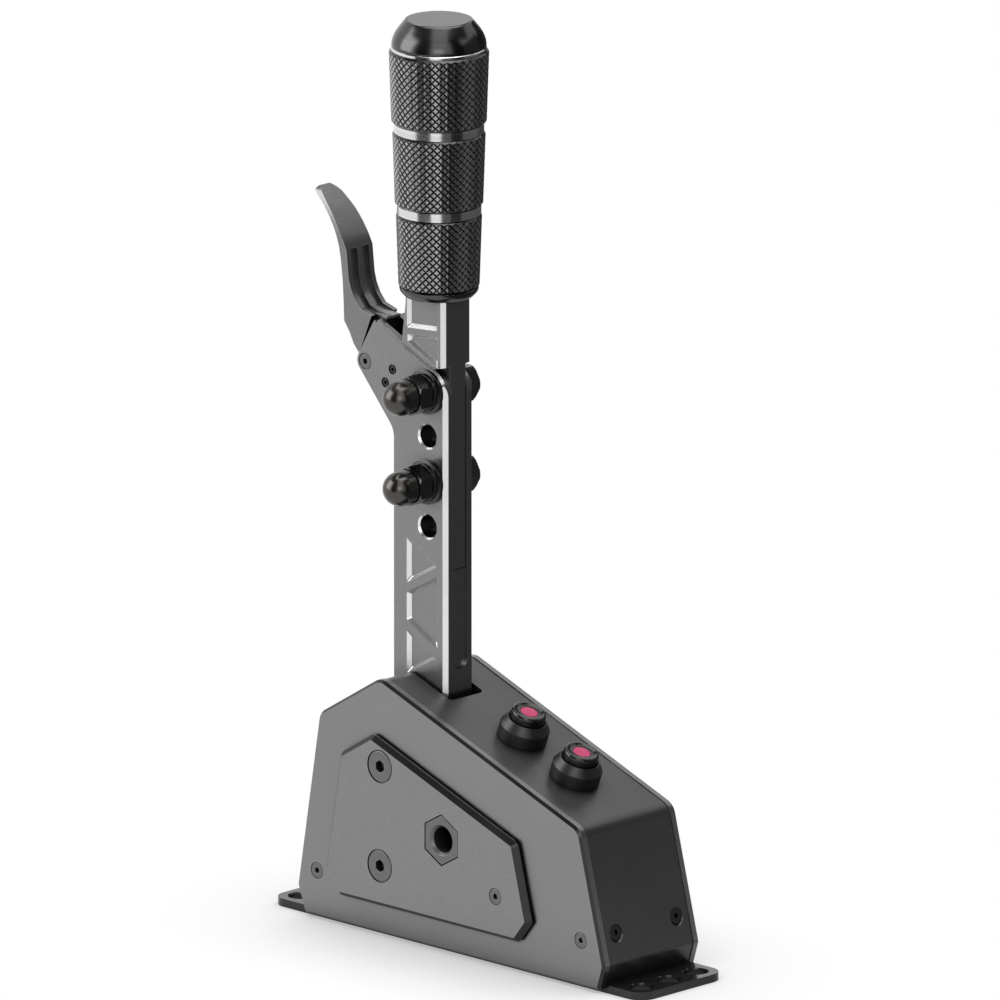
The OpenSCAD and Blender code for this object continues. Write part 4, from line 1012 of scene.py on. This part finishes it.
def knurled(name, node):
    """A knurled sleeve in place of a plain one, bored for the core."""
    low, high = corners(node)
    tall = high.z - low.z - 2 * SLEEVE_RIM
    top = (high.x - low.x) / 2 - KNURL_RISE
    foot = top - SLEEVE_TAPER * tall
    centre = Vector((grip_x, 0, (low.z + high.z) / 2)) * MM
    piece = diamonds(name, foot, top, tall, centre)
    for way, radius in ((1, top), (-1, foot)):
        rim = radius - SLEEVE_RIM
        pick("EDGE", lambda edge: edge.is_boundary and (edge.verts[0].co.z - centre.z) * way > 0)
        for rise, shrink in ((way * SLEEVE_RIM * MM, rim / radius), (0, CORE_RADIUS / rim)):
            bpy.ops.mesh.extrude_region_move(TRANSFORM_OT_translate={"value": (0, 0, rise)})
            bpy.ops.transform.resize(value=(shrink, shrink, 1), center_override=centre)
    pick("EDGE", lambda edge: edge.is_boundary)
    bpy.ops.mesh.bridge_edge_loops()
    return fitted(tidied(piece), node)


knurled("knurled_lower", "lower_sleeve")
knurled("knurled_middle", "middle_sleeve")
knurled("knurled_upper", "upper_sleeve")

# %% [markdown]
# The rings and the collar are plain turned parts with their edges broken. The cap is a flat disc on a
# rounded flank, and a shallow step at its rim catches a dark line.

# %% Rings, collar and cap
RING_EDGE = 0.2


def on_grip(piece, foot, node):
    """Stands a turned piece on the grip's axis, in place of a part."""
    return fitted(softened(laid(piece, (grip_x, 0, foot), (0, 0, 1)), 0), node)


for number, (low, high) in enumerate(sorted(solids("grip_rings"), key=lambda box: box[0].z)):
    radius = (high.x - low.x) / 2
    tall = high.z - low.z
    on_grip(turned(f"bright_ring_{number}", [
        (CORE_RADIUS, 0), (radius - RING_EDGE, 0), (radius, RING_EDGE), (radius, tall - RING_EDGE),
        (radius - RING_EDGE, tall), (CORE_RADIUS, tall)], sides=96, hollow=True), low.z, "grip_rings")

on_grip(turned("collar", [
    (CORE_RADIUS, 0), (12.4, 0), (12.7, 0.2), (13.6, 1.2), (14.2, 2.0), (14.4, 2.8), (14.4, 3.3),
    (14.1, 3.6), (CORE_RADIUS, 3.6)], sides=96, hollow=True), corners("grip_collar")[0].z, "grip_collar")

on_grip(turned("cap", [
    (CORE_RADIUS, 4.1), (CORE_RADIUS, 0), (17.0, 0), (17.2, 0.3), (17.25, 0.9), (17.1, 2.0), (16.7, 3.3),
    (16.1, 4.7), (15.3, 6.0), (14.4, 7.2), (13.3, 8.6), (12.6, 9.45), (12.2, 9.85), (12.05, 9.9),
    (11.95, 9.8), (11.8, 9.8), (11.7, 10)], sides=128), corners("grip_cap")[0].z, "grip_cap")

# %% [markdown]
# ## The trigger
# The trigger is bent and milled from plate, and below its kink two channels run down the side that faces
# the grip. They follow the curve. So the cutting block is itself first cut with a copy of the trigger that
# is moved in by the channels' depth: what is left of the block has the curve as its floor.

# %% Trigger blade
CHANNEL_WIDE = 3.6
CHANNEL_DEEP = 1.3
CHANNEL_TALL = 24.2
CHANNEL_MIDDLE = 235.5
RIDGE = 2.4
blade = copied("trigger", "trigger_blade")
low, high = corners("trigger")
for side in (-1, 1):
    cutter = block(
        (high.x, side * (RIDGE + CHANNEL_WIDE) / 2, CHANNEL_MIDDLE), (40, CHANNEL_WIDE, CHANNEL_TALL))
    inner = laid(copied("trigger", "Inner"), (-CHANNEL_DEEP, 0, -0.4 * CHANNEL_DEEP), (0, 0, 1))
    cut(blade, cut(cutter, inner))
fitted(softened(blade, 0.2), "trigger")

# %% [markdown]
# The trigger swings on a pin with a countersunk head at both ends, and its switch hangs between the cheeks
# on two small screws. Their heads are narrower than the holes they lie in, so a black ring shows round each.

# %% Trigger pin and switch screws
PIN_GAP = 0.25
SWITCH_SCREW_GAP = 0.45

for number, (low, high) in enumerate(solids("trigger_pivot")):
    centre = (low + high) / 2
    for side in (-1, 1):
        half = screw(f"trigger_pin_{number}", SMALL_HEAD, 3, centre.y + flank, PIN_GAP)
        fitted(laid(half, (centre.x, side * flank, centre.z), (0, side, 0), 10), "trigger_pivot")
for number, (low, high) in enumerate(solids("switch_screws")):
    small = screw(f"switch_screw_{number}", high.x - low.x, 2, high.y - low.y, SWITCH_SCREW_GAP)
    fitted(laid(small, at(low, high, low.y), (0, -1, 0), 30 * number), "switch_screws")

# %% [markdown]
# ## The buttons
# Two lit push buttons stand on the slope. A bezel is a short cylinder with a cone on it, the cap is a
# black plunger with a rim, and a rose-coloured lens is let into its dished top. All three are turned, and
# their direction comes from the line between the two lenses, which runs down the slope.

# %% Bezels, caps and lenses
lens_1, lens_2 = middle("button_1_lens"), middle("button_2_lens")
down_slope = (lens_2 - lens_1).normalized()
slope_out = Vector((-down_slope.z, 0, down_slope.x))
LENS_HEIGHT = 10.65
CAP_BORE = 6.8

bezel = softened(turned("bezel", [
    (CAP_BORE, -9), (7.9, -9), (7.9, 0), (9.1, 0), (9.3, 0.2), (9.3, 4.9), (9.2, 5.25), (8.9, 5.7),
    (7.5, 7.95), (7.3, 8.2), (7.0, 8.2), (CAP_BORE, 8.0)], sides=96, hollow=True), 0)
plunger = softened(turned("plunger", [
    (3.35, 10.15), (3.35, 11.1), (4.4, 11.1), (4.9, 11.25), (5.3, 11.55), (5.6, 11.6), (5.95, 11.5),
    (6.25, 11.25), (6.45, 10.8), (6.5, 10.2), (6.5, -3.4)], sides=96), 0)
lens_cap = softened(turned("rose_lens", [
    (3.25, 10.2), (3.25, 10.95), (3.1, 11.1), (2.4, 11.13), (1.2, 11.15), (0.1, 11.15)], sides=64), 0)
for number, centre in ((1, lens_1), (2, lens_2)):
    foot = centre - slope_out * LENS_HEIGHT
    for master, part in ((bezel, "housing"), (plunger, "cap"), (lens_cap, "lens")):
        fitted(placed(master, f"{master.name}_{number}", foot, slope_out), f"button_{number}_{part}")

for master in (big_screw, small_screw, nut, washer, bolt, bezel, plunger, lens_cap):
    bpy.data.objects.remove(master)


# %% [markdown]
# ## The studio
# The floor is a plain white sheet. Camera, glossy and see-through rays meet it as paper white, darkened
# where the object stands close over it; the light that bounces off it is kept low, as on a stage with
# black flags. Metal mirrors the right half of the sheet dark, as if a grey cloth lay there out of the
# camera's sight: that is what makes the driver's side of every square bar nearly black.

# %% Floor
FLOOR_RADIUS = 5
PAPER = 0.30
SHADE_REACH = 0.06
CLOTH_TONE = 0.1
CLOTH_START = 0.05
CLOTH_END = 0.13


def looked_at(tree, path):
    """One for rays that look, straight or through a mirror or a glass, and zero for light that bounces."""
    through = reckon(tree, "MAXIMUM", path.outputs["Is Glossy Ray"], path.outputs["Is Transmission Ray"])
    return reckon(tree, "MAXIMUM", path.outputs["Is Camera Ray"], through)


def floor_finish():
    """Paper white to look at, dim for the light that bounces, with a shade under what stands on it."""
    made, tree = blank("Paper floor")
    tree.nodes.clear()
    shade = add(tree, "AmbientOcclusion", Distance=SHADE_REACH)
    shade.samples = 8
    tone = ranged(tree, shade.outputs["AO"], 0.25, 0.95, 0.45, 1.0)
    path = add(tree, "LightPath")
    across = agreement(tree, add(tree, "TexCoord").outputs["Object"], rightwards)
    cloth = ranged(tree, across, CLOTH_START, CLOTH_END, 1.0, CLOTH_TONE)
    mirrored = reckon(tree, "MAXIMUM", cloth, path.outputs["Is Camera Ray"])
    glow = add(tree, "Emission", Strength=reckon(tree, "MULTIPLY", tone, mirrored))
    paper = add(tree, "BsdfDiffuse", Color=(PAPER, PAPER, PAPER, 1))
    mix = add(tree, "MixShader", Fac=looked_at(tree, path))
    feed(tree, paper.outputs["BSDF"], mix.inputs[1])
    feed(tree, glow.outputs["Emission"], mix.inputs[2])
    feed(tree, mix.outputs["Shader"], add(tree, "OutputMaterial").inputs["Surface"])
    return made


only()
bpy.ops.mesh.primitive_circle_add(vertices=64, radius=FLOOR_RADIUS, fill_type="NGON")
floor = bpy.context.object
floor.name = "Floor"
floor.data.materials.append(floor_finish())
floor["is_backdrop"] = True
print("floor, m across:", round(floor.dimensions.x, 1))

# %% [markdown]
# The world is white to look at and a quarter as strong as a light. A tall box lights the left, a weak one
# stands in front, and a soft one hangs above. Each is placed by its turn from the camera's side.

# %% World and lamps
AMBIENT = 0.25
LAMP_AIM = 0.15

world = bpy.data.worlds.new("Studio")
world.use_nodes = True
bpy.context.scene.world = world
sky = world.node_tree.nodes["Background"]
seen = looked_at(world.node_tree, add(world.node_tree, "LightPath"))
sky.inputs["Color"].default_value = (1, 1, 1, 1)
feed(world.node_tree, ranged(world.node_tree, seen, 0, 1, AMBIENT, 1.0), sky.inputs["Strength"])

facing = Vector((towards.x, towards.y, 0)).normalized()


def around(turn, reach, height):
    """A point at an angle from the camera's side, positive to its right."""
    angle = math.radians(turn)
    return facing * math.cos(angle) * reach + rightwards * math.sin(angle) * reach + Vector((0, 0, height))


def lamp(name, turn, reach, height, wide, tall, power):
    """A soft box that looks at the object's axis."""
    light = bpy.data.lights.new(name, "AREA")
    light.shape = "RECTANGLE"
    light.size = wide
    light.size_y = tall
    light.energy = power
    holder = bpy.data.objects.new(name, light)
    holder.location = around(turn, reach, height)
    aim_at = Vector((0, 0, LAMP_AIM)) - holder.location
    holder.rotation_euler = aim_at.to_track_quat("-Z", "Y").to_euler()
    holder.visible_camera = False
    bpy.context.scene.collection.objects.link(holder)
    print(f"{name}: {power} W")


lamp("Left box", -88, 1.3, 0.70, 0.9, 1.1, 10)
lamp("Front box", -2, 1.3, 0.75, 0.6, 0.8, 3)
lamp("Top box", 150, 0.15, 1.1, 0.8, 0.8, 6)

# %% [markdown]
# Polished metal is painted by what it mirrors, so cards stand round it. Dark ones left and right of the
# camera give the grip its dark bands, a dim wall on the right and a card at the back keep those sides from
# going black, and a bright card above the camera makes the light in the cap. The cards end higher above the
# floor than its shade reaches, or a grey line would show on the paper. The camera doesn't see them.

# %% Cards
def flag(name, place, wide, tall, tone, look):
    """A card of one tone that metal mirrors and the camera doesn't see. It faces the axis at a height."""
    only()
    bpy.ops.mesh.primitive_plane_add(size=1)
    card = bpy.context.object
    card.name = name
    card.dimensions = (wide, tall, 0)
    card.location = place
    card.rotation_euler = (Vector((0, 0, look)) - place).to_track_quat("Z", "Y").to_euler()
    made, tree = blank(name)
    shader = tree.nodes["Principled BSDF"]
    for label, value in (
            ("Base Color", (0, 0, 0, 1)), ("Specular IOR Level", 0),
            ("Emission Color", (1, 1, 1, 1)), ("Emission Strength", tone)):
        shader.inputs[label].default_value = value
    card.data.materials.append(made)
    card.visible_camera = False
    card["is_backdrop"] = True
    print(f"{name}: {wide} x {tall} m, tone {tone}")


flag("Left flag", around(-43, 0.6, 0.53), 0.42, 0.9, 0.03, 0.53)
flag("Right flag", around(47, 0.6, 0.53), 0.35, 0.9, 0.02, 0.53)
flag("Right wall", around(92, 0.9, 0.45), 1.1, 0.74, 0.15, 0.45)
flag("Front card", around(0, 0.51, 0.94), 0.5, 0.9, 1.4, 0.33)
flag("Back flag", around(140, 0.8, 0.35), 0.7, 0.54, 0.05, 0.35)
flag("Ceiling", Vector((0, 0, 1.3)), 2.0, 2.0, 0.08, 0)

# %% [markdown]
# ## Measuring
# The dressed model's box is measured at the end, and its size is printed.

# %% Finish
low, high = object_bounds()
print("dressed size, mm:", [round(1000 * side) for side in high - low])
